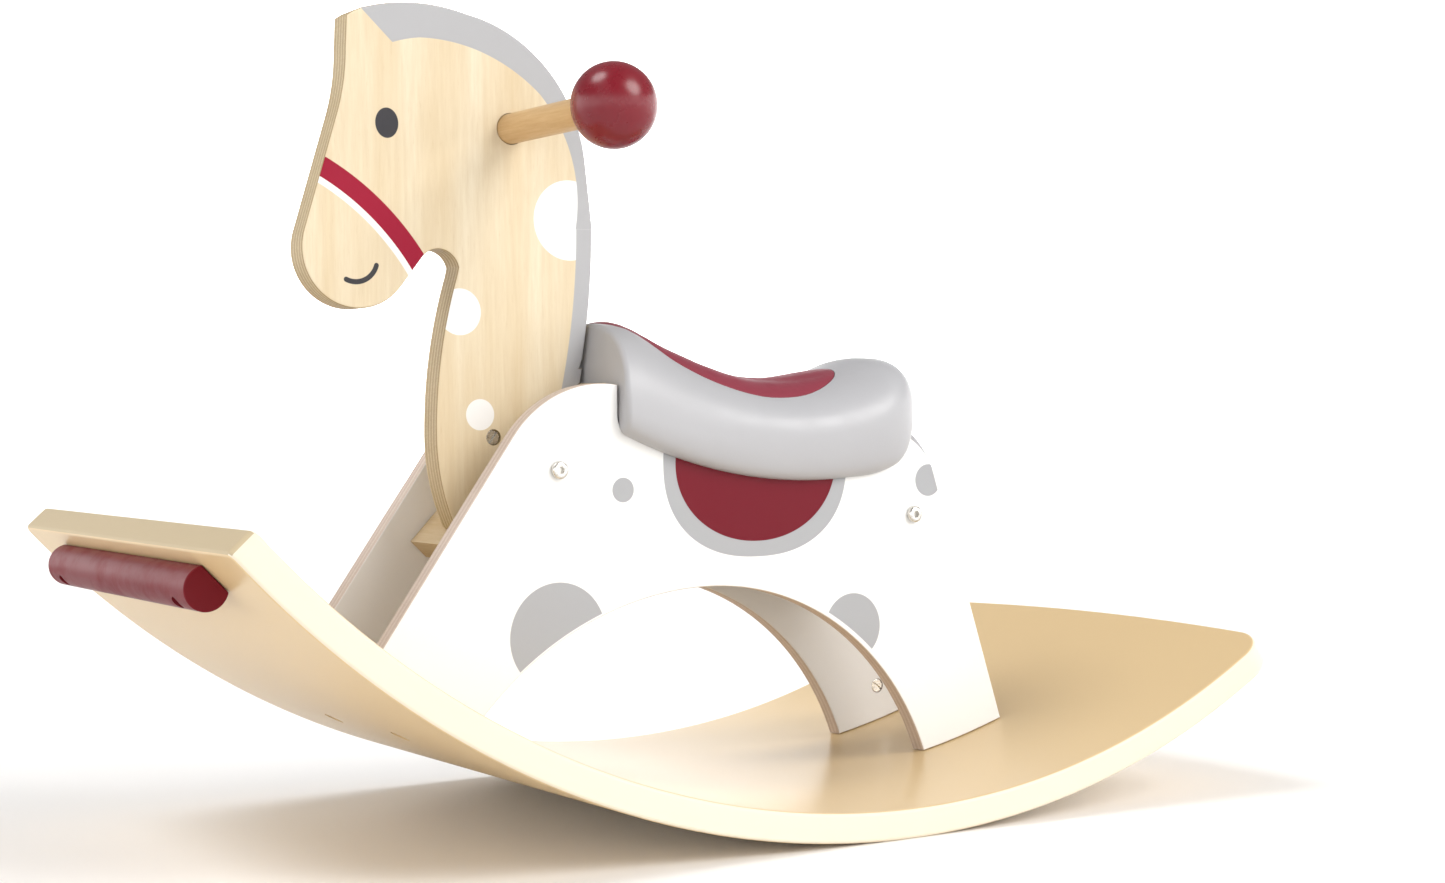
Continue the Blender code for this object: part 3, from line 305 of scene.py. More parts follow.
# printed shapes: each gives a distance, negative inside
def roundPrint(tree, y, z, centre, radius, halfHeight=None, power=2.0):
    halfHeight = halfHeight or radius
    dy = sums(tree, "DIVIDE", sums(tree, "SUBTRACT", y, centre[0] + touchY), radius)
    dz = sums(tree, "DIVIDE", sums(tree, "SUBTRACT", z, centre[1]), halfHeight)
    total = sums(tree, "ADD", sums(tree, "POWER", sums(tree, "ABSOLUTE", dy), power),
                 sums(tree, "POWER", sums(tree, "ABSOLUTE", dz), power))
    reach = sums(tree, "POWER", total, 1 / power)
    return sums(tree, "MULTIPLY", sums(tree, "SUBTRACT", reach, 1.0), min(radius, halfHeight))


def beyond(tree, y, z, point, degrees):  # negative on the far side of a line square to the heading
    turn = math.radians(degrees)
    along = sums(tree, "MULTIPLY", sums(tree, "SUBTRACT", y, point[0] + touchY), -math.cos(turn))
    up = sums(tree, "MULTIPLY", sums(tree, "SUBTRACT", z, point[1]), -math.sin(turn))
    return sums(tree, "ADD", along, up)


def both(tree, *distances):
    total = distances[0]
    for distance in distances[1:]:
        total = sums(tree, "MAXIMUM", total, distance)
    return total


def either(tree, *distances):
    total = distances[0]
    for distance in distances[1:]:
        total = sums(tree, "MINIMUM", total, distance)
    return total


def outside(tree, distance):
    return sums(tree, "MULTIPLY", distance, -1.0)


def ink(tree, distance, soft=0.00018):  # 1 inside the print, with a hair-thin soft edge
    return sums(tree, "MULTIPLY_ADD", distance, -1 / soft, 0.5, clamp=True)


# woods
woodLooks = {
    "headWood": {"light": "#DDD1B8", "dark": "#D0BD9B", "vein": "#C0A882", "grain": (60, 22, 1.6),
                 "rough": 0.46, "coat": 0.0, "shine": 0.22},
    "boardWood": {"light": "#E0CAA0", "dark": "#D3B079", "vein": "#B38C56", "grain": (46, 3.4, 30),
                  "rough": 0.36, "coat": 0.25, "shine": 0.4},
    "crossWood": {"light": "#CDBDA0", "dark": "#B9A17C", "vein": "#A58A62", "grain": (1.6, 20, 20),
                  "rough": 0.62, "coat": 0.0, "shine": 0.3},
    "handleWood": {"light": "#CFB084", "dark": "#BE9A68", "vein": "#A98151", "grain": (3.0, 46, 46),
                   "rough": 0.42, "coat": 0.1, "shine": 0.3},
}


def grainColour(tree, place, look):
    # broad bands, fine streaks and short pores, all drawn out along the grain
    lengthways = stretched(tree, place, look["grain"])
    broad = spread(tree, noise(tree, lengthways, 2.2, 5, 0.55, 0.35), 0.0, 1.0, 0.32, 0.68)
    fine = spread(tree, noise(tree, lengthways, 17, 6, 0.7), 0.0, 1.0, 0.35, 0.68)
    pores = spread(tree, noise(tree, lengthways, 60, 3, 0.6), 0.0, 1.0, 0.60, 0.74)
    cloud = spread(tree, noise(tree, place, 7, 3, 0.5), 0.0, 1.0, 0.3, 0.7)
    base = mixed(tree, broad, colour(look["light"]), colour(look["dark"]))
    base = mixed(tree, sums(tree, "MULTIPLY", fine, 0.34), base, colour(look["vein"]))
    base = mixed(tree, sums(tree, "MULTIPLY", cloud, 0.22), base, colour(look["light"]))
    base = mixed(tree, sums(tree, "MULTIPLY", pores, 0.28), base, colour(look["vein"]))
    return base, fine, pores


def woodFinish(name, look, place=None):
    made, tree, shader = newFinish(name, Coat_Weight=look["coat"], Coat_Roughness=0.22,
                                   Specular_IOR_Level=look["shine"])
    place = place(tree) if place else objectPlace(tree)
    base, fine, pores = grainColour(tree, place, look)
    tree.links.new(base, shader.inputs["Base Color"])
    tree.links.new(spread(tree, fine, look["rough"] - 0.05, look["rough"] + 0.09, 0.0, 1.0),
                   shader.inputs["Roughness"])
    bumped(tree, shader, sums(tree, "ADD", fine, pores), 0.25, 0.0001)
    return made, tree, shader, base


def flatPlace(tree):  # the board's own place before it was bent: across, along and through
    return node(tree, "ShaderNodeAttribute", attribute_name="flatPlace", output=1)


def layeredFinish(name, place, axis, layer, tones, rough):
    # the cut edge of plywood: glued layers whose grain turns by a right angle from one to the next
    made, tree, shader = newFinish(name)
    coords = place(tree)
    parts = node(tree, "ShaderNodeSeparateXYZ", {0: coords})
    depth = parts.node.outputs[axis]
    wander = sums(tree, "MULTIPLY", noise(tree, coords, 30, 3), 0.0006)
    step = sums(tree, "DIVIDE", sums(tree, "ADD", depth, wander), layer)
    wave = sums(tree, "PINGPONG", step, 1.0)
    across = sums(tree, "MULTIPLY_ADD", sums(tree, "SUBTRACT", wave, 0.5), 5.0, 0.5, clamp=True)
    speck = spread(tree, noise(tree, coords, 900, 3, 0.7), 0, 1, 0.4, 0.62)
    cloud = spread(tree, noise(tree, coords, 45, 4, 0.6), 0, 1)
    base = mixed(tree, across, colour(tones[0]), colour(tones[1]))
    base = mixed(tree, sums(tree, "MULTIPLY", speck, 0.25), base, colour(tones[2]))
    base = mixed(tree, sums(tree, "MULTIPLY", cloud, 0.25), base, colour(tones[0]))
    tree.links.new(base, shader.inputs["Base Color"])
    tree.links.new(spread(tree, speck, rough - 0.05, rough + 0.1, 0, 1), shader.inputs["Roughness"])
    bumped(tree, shader, sums(tree, "ADD", speck, across), 0.3, 0.00012)
    return made


def lacquerFinish(name, base, rough, shine=0.5, paint=None, ripple=0.00004, wear=0.06):
    # sprayed lacquer: faint orange peel, slow changes of tone and a few dull patches
    made, tree, shader = newFinish(name, Specular_IOR_Level=shine)
    place = objectPlace(tree)
    cloud = spread(tree, noise(tree, place, 9, 4, 0.6), 0, 1)
    dull = spread(tree, noise(tree, place, 55, 5, 0.65), 0, 1, 0.45, 0.7)
    peel = noise(tree, place, 420, 2, 0.5)
    tone = colour(base)
    shade = tuple(part * (1 - wear) for part in tone[:3]) + (1.0,)
    result = mixed(tree, cloud, tone, shade)
    if paint:
        result = paint(tree, result)
    tree.links.new(result, shader.inputs["Base Color"])
    tree.links.new(spread(tree, dull, rough - 0.04, rough + 0.08, 0, 1), shader.inputs["Roughness"])
    bumped(tree, shader, peel, 0.35, ripple)
    return made


def steelFinish():
    made, tree, shader = newFinish("nickelPlate", Metallic=1.0)
    place = objectPlace(tree)
    brushed = noise(tree, stretched(tree, place, (900, 120, 900)), 1.0, 3, 0.6)
    spots = spread(tree, noise(tree, place, 260, 5, 0.6), 0, 1, 0.5, 0.75)
    base = mixed(tree, spots, colour("#D9D6D0"), colour("#B2ADA4"))
    tree.links.new(base, shader.inputs["Base Color"])
    tree.links.new(spread(tree, brushed, 0.16, 0.34), shader.inputs["Roughness"])
    bumped(tree, shader, brushed, 0.2, 0.00003)
    return made


# what is printed on the head, both faces alike
headPrint = {
    "grey": "#A9A9AB", "white": "#E8E7E5", "ink": "#38373B", "red": "#92052B",
    "maneTop": ((-0.2235, 0.3541), 0.1102), "maneInner": ((-0.2166, 0.3738), 0.0912),
    "maneBack": ((-0.5765, 0.360), 0.450),
    "maneTurn": 0.357, "forelockStart": (-0.2636, 0.4767), "forelockHeading": 47.0,
    "eye": (-0.2499, 0.4137), "eyeSize": (0.0072, 0.0087),
    "smile": (-0.27025, 0.33568), "smileRadius": 0.01356, "smileThick": 0.0030,
    "smileEnds": (-115.0, -17.0), "smileSides": (-107.0, -25.0),
    "noseband": (-0.3634, 0.2457), "nosebandRadii": (0.1497, 0.1535, 0.165), "nosebandFloor": 0.3255,
    "spots": (((-0.1313, 0.362), 0.0241), ((-0.2048, 0.306), 0.0137), ((-0.1922, 0.2457), 0.0092)),
}


def paintHead(tree, base):
    look = headPrint
    parts = node(tree, "ShaderNodeSeparateXYZ", {0: objectPlace(tree)})
    y, z = parts.node.outputs[1], parts.node.outputs[2]
    for centre, radius in look["spots"]:
        spot = ink(tree, roundPrint(tree, y, z, centre, radius))
        base = mixed(tree, spot, base, colour(look["white"]))
    low, middle, high = look["nosebandRadii"]
    centre = look["noseband"]
    floor = sums(tree, "SUBTRACT", look["nosebandFloor"], z)
    for inner, outer, tone in ((low, middle, look["white"]), (middle, high, look["red"])):
        band = both(tree, roundPrint(tree, y, z, centre, outer),
                    outside(tree, roundPrint(tree, y, z, centre, inner)), floor)
        base = mixed(tree, ink(tree, band), base, colour(tone))
    top = outside(tree, roundPrint(tree, y, z, *look["maneTop"]))
    inner = outside(tree, roundPrint(tree, y, z, *look["maneInner"]))
    above = both(tree, either(tree, top, inner),
                 beyond(tree, y, z, look["forelockStart"], look["forelockHeading"]),
                 sums(tree, "SUBTRACT", look["maneTurn"], z))
    below = both(tree, outside(tree, roundPrint(tree, y, z, *look["maneBack"])),
                 sums(tree, "SUBTRACT", z, look["maneTurn"]))
    base = mixed(tree, ink(tree, either(tree, above, below)), base, colour(look["grey"]))
    eye = roundPrint(tree, y, z, look["eye"], *look["eyeSize"])
    centre, radius, half = look["smile"], look["smileRadius"], look["smileThick"] / 2
    smile = both(tree, roundPrint(tree, y, z, centre, radius + half),
                 outside(tree, roundPrint(tree, y, z, centre, radius - half)),
                 *(beyond(tree, y, z, centre, turn) for turn in look["smileSides"]))
    ends = [roundPrint(tree, y, z, polar(centre, radius, turn), half) for turn in look["smileEnds"]]
    smile = either(tree, smile, *ends)
    return mixed(tree, ink(tree, either(tree, eye, smile)), base, colour(look["ink"]))


# what is printed on the outer face of each side panel
panelPrint = {
    "grey": "#A3A4A7", "red": "#6A0A1C",
    "blanket": (-0.026, 0.215), "blanketSize": (0.067, 0.0575, 2.3), "redSize": (0.0585, 0.048, 2.05),
    "spot": ((-0.1208, 0.2006), 0.0073), "frontSpot": ((-0.1649, 0.1166), 0.0315),
    "rearSpot": ((0.0452, 0.1103), 0.021), "hipSpot": ((0.1055, 0.201), 0.0102),
    "frontMargin": 0.0016, "rearMargin": 0.0030, "hipMargin": 0.0022,
}
panel = {
    "thickness": 0.012, "spacing": 0.081, "edge": 0.0011,
    "frontToe": -0.2865, "frontHeel": -0.2200, "rearHeel": 0.1643, "archTop": (-0.061, 0.1407),
    "archFront": 0.207, "archRear": 0.172, "frontSlope": 54.7, "rearSlope": 72.1,
    "shoulderTop": 0.2635, "shoulder": 0.072, "hip": 0.050, "hipHeight": 0.2006,
    "cradle": 0.320, "cradleLow": (0.015, 0.205), "cradleFront": -0.1237, "cradleRear": 0.0888,
    "frontFillet": 0.012, "rearFillet": 0.016,
}
panelInner = panel["spacing"] / 2
panelOuter = panelInner + panel["thickness"]
frontArch = (panel["archTop"][0], panel["archTop"][1] - panel["archFront"])
rearArch = (panel["archTop"][0], panel["archTop"][1] - panel["archRear"])


def footPoint(y):
    radius = board["radius"] - hairline
    return onRocker(rockerAngle(y, radius), radius)


def paintPanel(tree, base):
    look = panelPrint
    parts = node(tree, "ShaderNodeSeparateXYZ", {0: objectPlace(tree)})
    y, z = parts.node.outputs[1], parts.node.outputs[2]
    grey = both(tree, roundPrint(tree, y, z, *look["frontSpot"]),
                outside(tree, roundPrint(tree, y, z, frontArch,
                                         panel["archFront"] + look["frontMargin"])))
    rear = both(tree, roundPrint(tree, y, z, *look["rearSpot"]),
                outside(tree, roundPrint(tree, y, z, rearArch,
                                         panel["archRear"] + look["rearMargin"])))
    heel = footPoint(panel["rearHeel"])
    inset = (heel[0] - look["hipMargin"], heel[1])
    hip = both(tree, roundPrint(tree, y, z, *look["hipSpot"]),
               beyond(tree, y, z, inset, 270 - panel["rearSlope"]))
    blanket = roundPrint(tree, y, z, look["blanket"], *look["blanketSize"])
    grey = either(tree, grey, rear, hip, roundPrint(tree, y, z, *look["spot"]), blanket)
    base = mixed(tree, ink(tree, grey), base, colour(look["grey"]))
    red = roundPrint(tree, y, z, look["blanket"], *look["redSize"])
    return mixed(tree, ink(tree, red), base, colour(look["red"]))


boardFace = woodFinish("rockerVeneer", woodLooks["boardWood"], flatPlace)[0]
boardLayer = 0.0016
boardEdge = layeredFinish("rockerLayers", flatPlace, 2, boardLayer,
                          ("#E2D8C4", "#D9CAAF", "#C8B38C"), 0.5)
# the board's front end face gets darker layer tones than its long edges: painted shade, because that
# end faces away from the lights
boardFrontEndShaded = layeredFinish("rockerFrontEndPaintedShade", flatPlace, 2, boardLayer,
                         ("#BBAA8A", "#AB9670", "#8F7850"), 0.6)
headFace, headTree, headShader, headBase = woodFinish("headVeneer", woodLooks["headWood"])
headTree.links.new(paintHead(headTree, headBase), headShader.inputs["Base Color"])
headEdge = layeredFinish("headLayers", objectPlace, 0, 0.0018,
                         ("#B9A682", "#9A8560", "#84704C"), 0.55)
crossWood = woodFinish("crossWood", woodLooks["crossWood"])[0]
handleWood = woodFinish("handleWood", woodLooks["handleWood"])[0]
whiteLacquer = lacquerFinish("whiteLacquer", "#DEDCDA", 0.42, 0.35, wear=0.02)
printedLacquer = lacquerFinish("printedLacquer", "#E9E9E8", 0.40, 0.2, paint=paintPanel, wear=0.015)
panelEdgeFinish = layeredFinish("panelLayers", objectPlace, 0, 0.0020,
                                ("#CDBFB4", "#BEACA0", "#A89385"), 0.55)
ballLacquer = lacquerFinish("ballLacquer", "#76081B", 0.30, ripple=0.00001, wear=0.10)
bumperLacquer = lacquerFinish("bumperLacquer", "#6E1620", 0.42, 0.12, wear=0.14)
steel = steelFinish()
print("finishes ready")


# rocker board: drawn flat with its corners and rim, sliced across, then bent to its radius
def boardLength(degrees):
    return math.radians(degrees) * board["radius"]


def makeBoard():
    front, rear = -boardLength(board["frontAngle"]), boardLength(board["rearAngle"])
    half, bow = board["width"] / 2, board["rearBow"]
    corner, small = board["rearCorner"], board["frontCorner"]
    outline = arcPoints((-half + small, front + small), small, 180, 270, 7)
    outline += arcPoints((half - small, front + small), small, 270, 360, 7)
    outline += arcPoints((half - corner, rear - corner), corner, 0, 90, 13)
    outline += [((half - corner) * (1 - 2 * i / 16), rear) for i in range(1, 16)]
    outline += arcPoints((-half + corner, rear - corner), corner, 90, 180, 13)
    bpy.ops.object.select_all(action="DESELECT")
    bpy.ops.mesh.primitive_circle_add(vertices=len(outline), fill_type="NGON")
    made = bpy.context.object
    made.name = made.data.name = "rockerBoard"
    for vert, (x, along) in zip(made.data.vertices, outline):
        vert.co = (x, along, 0)
    editMode(made)
    bpy.ops.mesh.extrude_region_move(TRANSFORM_OT_translate={"value": (0, 0, -board["thickness"])})
    bpy.ops.mesh.select_all(action="SELECT")
    bpy.ops.mesh.normals_make_consistent(inside=False)
    choose(made, "EDGE", lambda e: abs(e.verts[0].co.z - e.verts[1].co.z) < 1e-6)
    bpy.ops.mesh.bevel(offset=board["edge"], segments=5, affect="EDGES")
    for i in range(1, board["slices"]):
        bpy.ops.mesh.select_all(action="SELECT")
        bpy.ops.mesh.bisect(plane_co=(0, front + (rear - front) * i / board["slices"], 0),
                            plane_no=(0, 1, 0))
    objectMode()
    place = made.data.attributes.new("flatPlace", "FLOAT_VECTOR", "POINT")
    # faces looking forward (the front end) take the darker end finish, which is painted shade
    rims = [0 if abs(face.normal.z) >= 0.75 else 2 if face.normal.y < -0.7 else 1
            for face in made.data.polygons]
    reach = 3 * corner
    for vert in made.data.vertices:
        x, along, depth = vert.co
        place.data[vert.index].vector = (x, along, depth)
        share = max(0.0, 1 - (rear - along) / reach)
        along -= bow * share * (2 * x / board["width"]) ** 2
        point = onRocker(math.degrees(along / board["radius"]), board["radius"] - depth)
        vert.co = inPlace(x, (point[0], max(point[1], 0.0)))
    dressed(made, [boardFace, boardEdge, boardFrontEndShaded])
    for face, rim in zip(made.data.polygons, rims):
        face.material_index = rim
    return made


fasteners = {"bolt": 0.003, "head": 0.00525, "headHeight": 0.003, "socket": 0.0023, "nut": 0.0045,
             "nutHeight": 0.023, "legNutDepth": 0.0105, "legBolts": {"front": -0.2545, "rear": 0.1385},
             "sink": 0.0062, "sinkDepth": 0.006, "loose": 0.0003, "screwHead": 0.004,
             "panelBolt": 0.040, "pastNut": 0.003}
drillPast = 0.01  # how far a drill starts or ends outside the wood


def legPlaces():
    middle = panelInner + panel["thickness"] / 2
    return [(end + "_" + side, sign, sign * middle, rockerAngle(y))
            for end, y in fasteners["legBolts"].items() for sign, side in bothSides]


def bumperAxis():
    return onRocker(-bumper["angle"], bumperRadius)


rocker = makeBoard()
for _, _, x, angle in legPlaces():
    low = inPlace(x, onRocker(angle, underRadius + drillPast))
    seat = inPlace(x, onRocker(angle, underRadius - fasteners["sinkDepth"]))
    high = inPlace(x, onRocker(angle, board["radius"] - drillPast))
    combine(rocker, rod(low, seat, fasteners["sink"]))
    combine(rocker, rod(seat - (high - seat) * 0.1, high, fasteners["bolt"] + fasteners["loose"], 20))
smooth(rocker)
finished(rocker, "rocker_plywood", "rocker_board")
print("rocker board", len(rocker.data.polygons))


# front bumper: a round bar with one flat, bevelled ends and two sunk screws
def makeBumper():
    halfFlat = math.degrees(math.acos(bumper["flatOffset"] / bumper["radius"]))
    towards = 90 - bumper["angle"]
    outline = arcPoints(bumperAxis(), bumper["radius"], towards + halfFlat, towards + 360 - halfFlat,
                        bumper["sides"])
    made = plate("frontBumper", outline, -bumper["length"] / 2, bumper["length"] / 2, bumper["edge"])
    axis = slopeAxis(towards)
    for sign, _ in bothSides:
        middle = inPlace(sign * bumper["screwX"], bumperAxis())
        combine(made, rod(middle - axis * 2 * bumper["radius"], middle - axis * 0.35 * bumper["radius"],
                          fasteners["screwHead"] + fasteners["loose"]))
    smooth(made, 30)
    dressed(made, [bumperLacquer])
    return finished(made, "bumper_red", "front_bumper")


makeBumper()
print("bumper")


# side panels
def hipCentre():
    foot = footPoint(panel["rearHeel"])
    run = (panel["hipHeight"] - foot[1]) / math.tan(math.radians(panel["rearSlope"]))
    return polar((foot[0] - run, panel["hipHeight"]), panel["hip"], 270 - panel["rearSlope"])


def shoulderCentre():
    toe, slope = footPoint(panel["frontToe"]), math.radians(panel["frontSlope"])
    height = panel["shoulderTop"] - panel["shoulder"]
    return (toe[0] + (height - toe[1]) / math.tan(slope) + panel["shoulder"] / math.sin(slope), height)


def cradleHeight(y):
    low, radius = panel["cradleLow"], panel["cradle"]
    return low[1] + radius - math.sqrt(radius ** 2 - (y - low[0]) ** 2)


def cradleFillet(wallY, radius):
    low = panel["cradleLow"]
    centreY = wallY + math.copysign(radius, low[0] - wallY)
    reach = panel["cradle"] - radius
    return (centreY, low[1] + panel["cradle"] - math.sqrt(reach ** 2 - (centreY - low[0]) ** 2))


def panelOutline():
    footRadius = board["radius"] - hairline
    heel = footPoint(panel["frontHeel"])
    meet = circlesMeet(rearArch, panel["archRear"], arcCentre, footRadius, -1)
    toe = heading(arcCentre, meet)
    feet = [rockerAngle(panel[key], footRadius) - 90 for key in ("frontToe", "frontHeel", "rearHeel")]
    points = arcPoints(arcCentre, footRadius, feet[0], feet[1], 8)
    points += arcPoints(frontArch, panel["archFront"], heading(frontArch, heel), 90, 40)[1:]
    points += arcPoints(rearArch, panel["archRear"], 90, heading(rearArch, meet), 40)[1:]
    points += arcPoints(arcCentre, footRadius, toe, feet[2], 6)[1:]
    hip = hipCentre()
    hipEnd = math.degrees(math.acos((panel["cradleRear"] - hip[0]) / panel["hip"]))
    points += arcPoints(hip, panel["hip"], 90 - panel["rearSlope"], hipEnd, 18)
    circle = (panel["cradleLow"][0], panel["cradleLow"][1] + panel["cradle"])
    rear = cradleFillet(panel["cradleRear"], panel["rearFillet"])
    front = cradleFillet(panel["cradleFront"], panel["frontFillet"])
    points += arcPoints(rear, panel["rearFillet"], 0, heading(circle, rear), 14)
    points += arcPoints(circle, panel["cradle"], heading(circle, rear), heading(circle, front), 36)[1:]
    points += arcPoints(front, panel["frontFillet"], heading(circle, front), -180, 14)[1:]
    shoulder = shoulderCentre()
    corner = math.degrees(math.acos((panel["cradleFront"] - shoulder[0]) / panel["shoulder"]))
    points += arcPoints(shoulder, panel["shoulder"], corner, panel["frontSlope"] + 90, 28)
    return points


rest = {"centre": (-0.1638, 0.2132), "slope": 46.0, "thickness": 0.014, "nutHeight": 0.0274}
braceCentre = (0.0935, 0.1795)
panelBolts = (("front", rest["centre"], rest["slope"] + 90),
              ("rear", braceCentre, 270 - panel["rearSlope"]))


def makePanel(sign, side):
    low, high = sorted((sign * panelInner, sign * panelOuter))
    made = plate("sidePanel_" + side, panelOutline(), low, high, panel["edge"])
    nutRadius = board["radius"] - fasteners["nutHeight"]
    for _, legSign, x, angle in legPlaces():
        if legSign == sign:
            start = inPlace(sign * (panelInner - drillPast), onRocker(angle, nutRadius))
            reach = Vector((sign * (drillPast + fasteners["legNutDepth"]), 0, 0))
            combine(made, rod(start, start + reach, fasteners["nut"] + fasteners["loose"]))
    for _, centre, _ in panelBolts:
        combine(made, rod(inPlace(sign * (panelInner - drillPast), centre),
                          inPlace(sign * (panelOuter + drillPast), centre),
                          fasteners["bolt"] + fasteners["loose"], 24))
    smooth(made)

    def pick(middle, normal):
        if abs(normal.x) < 0.7:
            return 2
        return 0 if normal.x * sign > 0 else 1

    dressed(made, [printedLacquer, whiteLacquer, panelEdgeFinish], pick)
    return finished(made, "white_lacquer", "side_panel_" + side)


for sign, side in bothSides:
    makePanel(sign, side)
print("side panels")

# head: one plywood plate with printed faces
head = {
    "thickness": 0.018, "edge": 0.0012, "skull": (-0.2132, 0.3875), "skullRadius": 0.094,
    "muzzle": (-0.2685, 0.341), "muzzleRadius": 0.034, "throat": (-0.2179, 0.3292),
    "throatRadius": 0.0131, "forehead": (-0.274, 0.4736), "foreheadBend": 0.455,
    "foreheadRadius": 0.130, "crown": (-0.2285, 0.3639), "crownRadius": 0.1203,
    "forelock": ((-0.2640, 0.4789), (-0.2700, 0.4762)),
    "neckBack": (-0.1155, 0.360), "neckBackRadius": 0.450, "neckFront": (-0.2205, 0.234),
    "neckFrontRadii": (0.311, 0.133), "stepHeight": 0.273, "stepDepth": 0.0022, "wallTilt": 0.155,
    "muzzleStart": 162.5,
}
handle = {"axis": (-0.170, 0.4148), "radius": 0.009, "ball": 0.024, "ballX": 0.131, "hole": 0.023}


def restPoint(along, off):
    return polar(polar(rest["centre"], along, rest["slope"]), off, rest["slope"] + 90)


def headOutline():
    foot = restPoint(0, rest["thickness"] / 2 + hairline)
    rise = math.tan(math.radians(rest["slope"]))

    def wallY(z):
        lean = head["wallTilt"] * max(0.0, z - panel["shoulderTop"])
        return panel["cradleFront"] - 2 * hairline + lean

    step, backRadius = head["stepHeight"], head["neckBackRadius"]
    back = (head["neckBack"][0] - backRadius, head["neckBack"][1])
    start = math.degrees(math.asin((step + 0.002 - back[1]) / backRadius))
    points = [(wallY(0), foot[1] + (wallY(0) - foot[0]) * rise), (wallY(step), step),
              (wallY(step) - head["stepDepth"], step)]
    points += arcPoints(back, backRadius, start, 0, 24)[1:]
    points += arcPoints(head["skull"], head["skullRadius"], 5, 80, 40)
    points += arcPoints(head["crown"], head["crownRadius"], 77, 103.5, 14)
    points += [*head["forelock"], head["forehead"]]
    muzzle, throat, jowl = head["muzzle"], head["throat"], head["muzzleRadius"]
    bend = (head["forehead"][0] - 0.001 - head["foreheadRadius"], head["foreheadBend"])
    muzzleTop = polar(muzzle, jowl, head["muzzleStart"])
    lean = heading(muzzleTop, polar(bend, head["foreheadRadius"], head["muzzleStart"] - 180)) - 90
    points += arcPoints(bend, head["foreheadRadius"], 0, lean, 14)
    apart = math.dist(muzzle, throat)
    jaw = heading(muzzle, throat) - math.degrees(math.acos((jowl + head["throatRadius"]) / apart))
    points += arcPoints(muzzle, jowl, head["muzzleStart"], 360 + jaw, 40)
    points += arcPoints(throat, head["throatRadius"], 180 + jaw, 12, 22)
    upper, lower = head["neckFrontRadii"]
    neck = head["neckFront"]
    top = math.degrees(math.asin((throat[1] - 0.002 - neck[1]) / upper))
    points += arcPoints((neck[0] + upper, neck[1]), upper, 180 - top, 180, 18)
    points += arcPoints((neck[0] + lower, neck[1]), lower, 180, 204, 16)[1:]
    tipY = points[-1][0] + 0.0015
    return points + [(tipY, foot[1] + (tipY - foot[0]) * rise)]


half = head["thickness"] / 2
through = half + drillPast
headPanel = plate("headPanel", headOutline(), -half, half, head["edge"])
combine(headPanel, rod(inPlace(-through, handle["axis"]), inPlace(through, handle["axis"]),
                       handle["radius"] + hairline, 64))
neckNut = restPoint(0, rest["nutHeight"])
combine(headPanel, rod(inPlace(-through, neckNut), inPlace(through, neckNut),
                       fasteners["nut"] + fasteners["loose"], 48))
smooth(headPanel)
dressed(headPanel, [headFace, headEdge], lambda middle, normal: int(abs(normal.x) < 0.7))
finished(headPanel, "plywood", "head_panel")
print("head")


# handle: a round bar with a drilled ball on each end
def makeHandle():
    end = handle["ballX"] - handle["ball"] + handle["hole"] - 0.0005
    bar = rod(inPlace(-end, handle["axis"]), inPlace(end, handle["axis"]), handle["radius"], 64,
              "handleBar")
    editMode(bar)
    choose(bar, "EDGE", lambda e: abs(e.verts[0].co.x - e.verts[1].co.x) < 1e-6)
    bpy.ops.mesh.bevel(offset=0.0008, segments=3, affect="EDGES")
    objectMode()
    smooth(bar)
    dressed(bar, [handleWood])
    finished(bar, "beech", "handle_bar")
    for sign, side in bothSides:
        bpy.ops.object.select_all(action="DESELECT")
        bpy.ops.mesh.primitive_uv_sphere_add(
            segments=96, ring_count=48, radius=handle["ball"], rotation=(0, math.pi / 2, 0),
            location=inPlace(sign * handle["ballX"], handle["axis"]))
        ball = bpy.context.object
        ball.name = ball.data.name = "handleBall_" + side
        bpy.ops.object.transform_apply(location=True, rotation=True, scale=True)
        start = inPlace(sign * (handle["ballX"] - handle["ball"] - drillPast), handle["axis"])
        stop = inPlace(sign * (handle["ballX"] - handle["ball"] + handle["hole"]), handle["axis"])
        bore = handle["radius"] + hairline
        combine(ball, rod(start, stop, bore, 64))
        editMode(ball)
        rim = handle["ballX"] - math.sqrt(handle["ball"] ** 2 - bore ** 2)

        def onBoreRim(edge):
            return all(abs(abs(v.co.x) - rim) < 0.0002
                       and abs((v.co - inPlace(v.co.x, handle["axis"])).length - bore) < 0.0001
                       for v in edge.verts)

        choose(ball, "EDGE", onBoreRim)
        bpy.ops.mesh.bevel(offset=0.0006, segments=3, affect="EDGES")
        objectMode()
        smooth(ball, 50)
        dressed(ball, [ballLacquer])
        finished(ball, "red_lacquer", "handle_ball_" + side)


makeHandle()
print("handle")

# saddle: one moulded shell, hollow below, with a recess for the pad
saddle = {
    "halfWidth": 0.0635, "rear": 0.109, "rearRound": 0.051, "rearPower": 2.6, "skirt": 0.0018,
    "skirtTurn": (0.046, 0.254), "ledgeGap": 0.0007, "wallTilt": 0.155, "wall": 0.006,
    "corner": 0.020, "rim": 0.0032, "roundness": 2.25, "cavityHalf": 0.0455, "tongueRise": 0.0093,
    "tongueEnd": 28.0, "tongueGap": 0.002, "boss": 0.007, "bossX": 0.020,
    "crest": ((-0.1237, 0.3005), (-0.106, 0.3000), (-0.092, 0.2945), (-0.076, 0.2855),
              (-0.048, 0.2735), (-0.018, 0.2645), (0.005, 0.2625), (0.023, 0.2635),
              (0.050, 0.2695), (0.066, 0.2750), (0.078, 0.2795), (0.090, 0.2805),
              (0.100, 0.2780), (0.109, 0.2640)),
    "middle": ((-0.1237, 0.2480), (-0.090, 0.2370), (-0.048, 0.2310), (0.005, 0.2290),
               (0.050, 0.2330), (0.085, 0.2440), (0.109, 0.2520)),
}
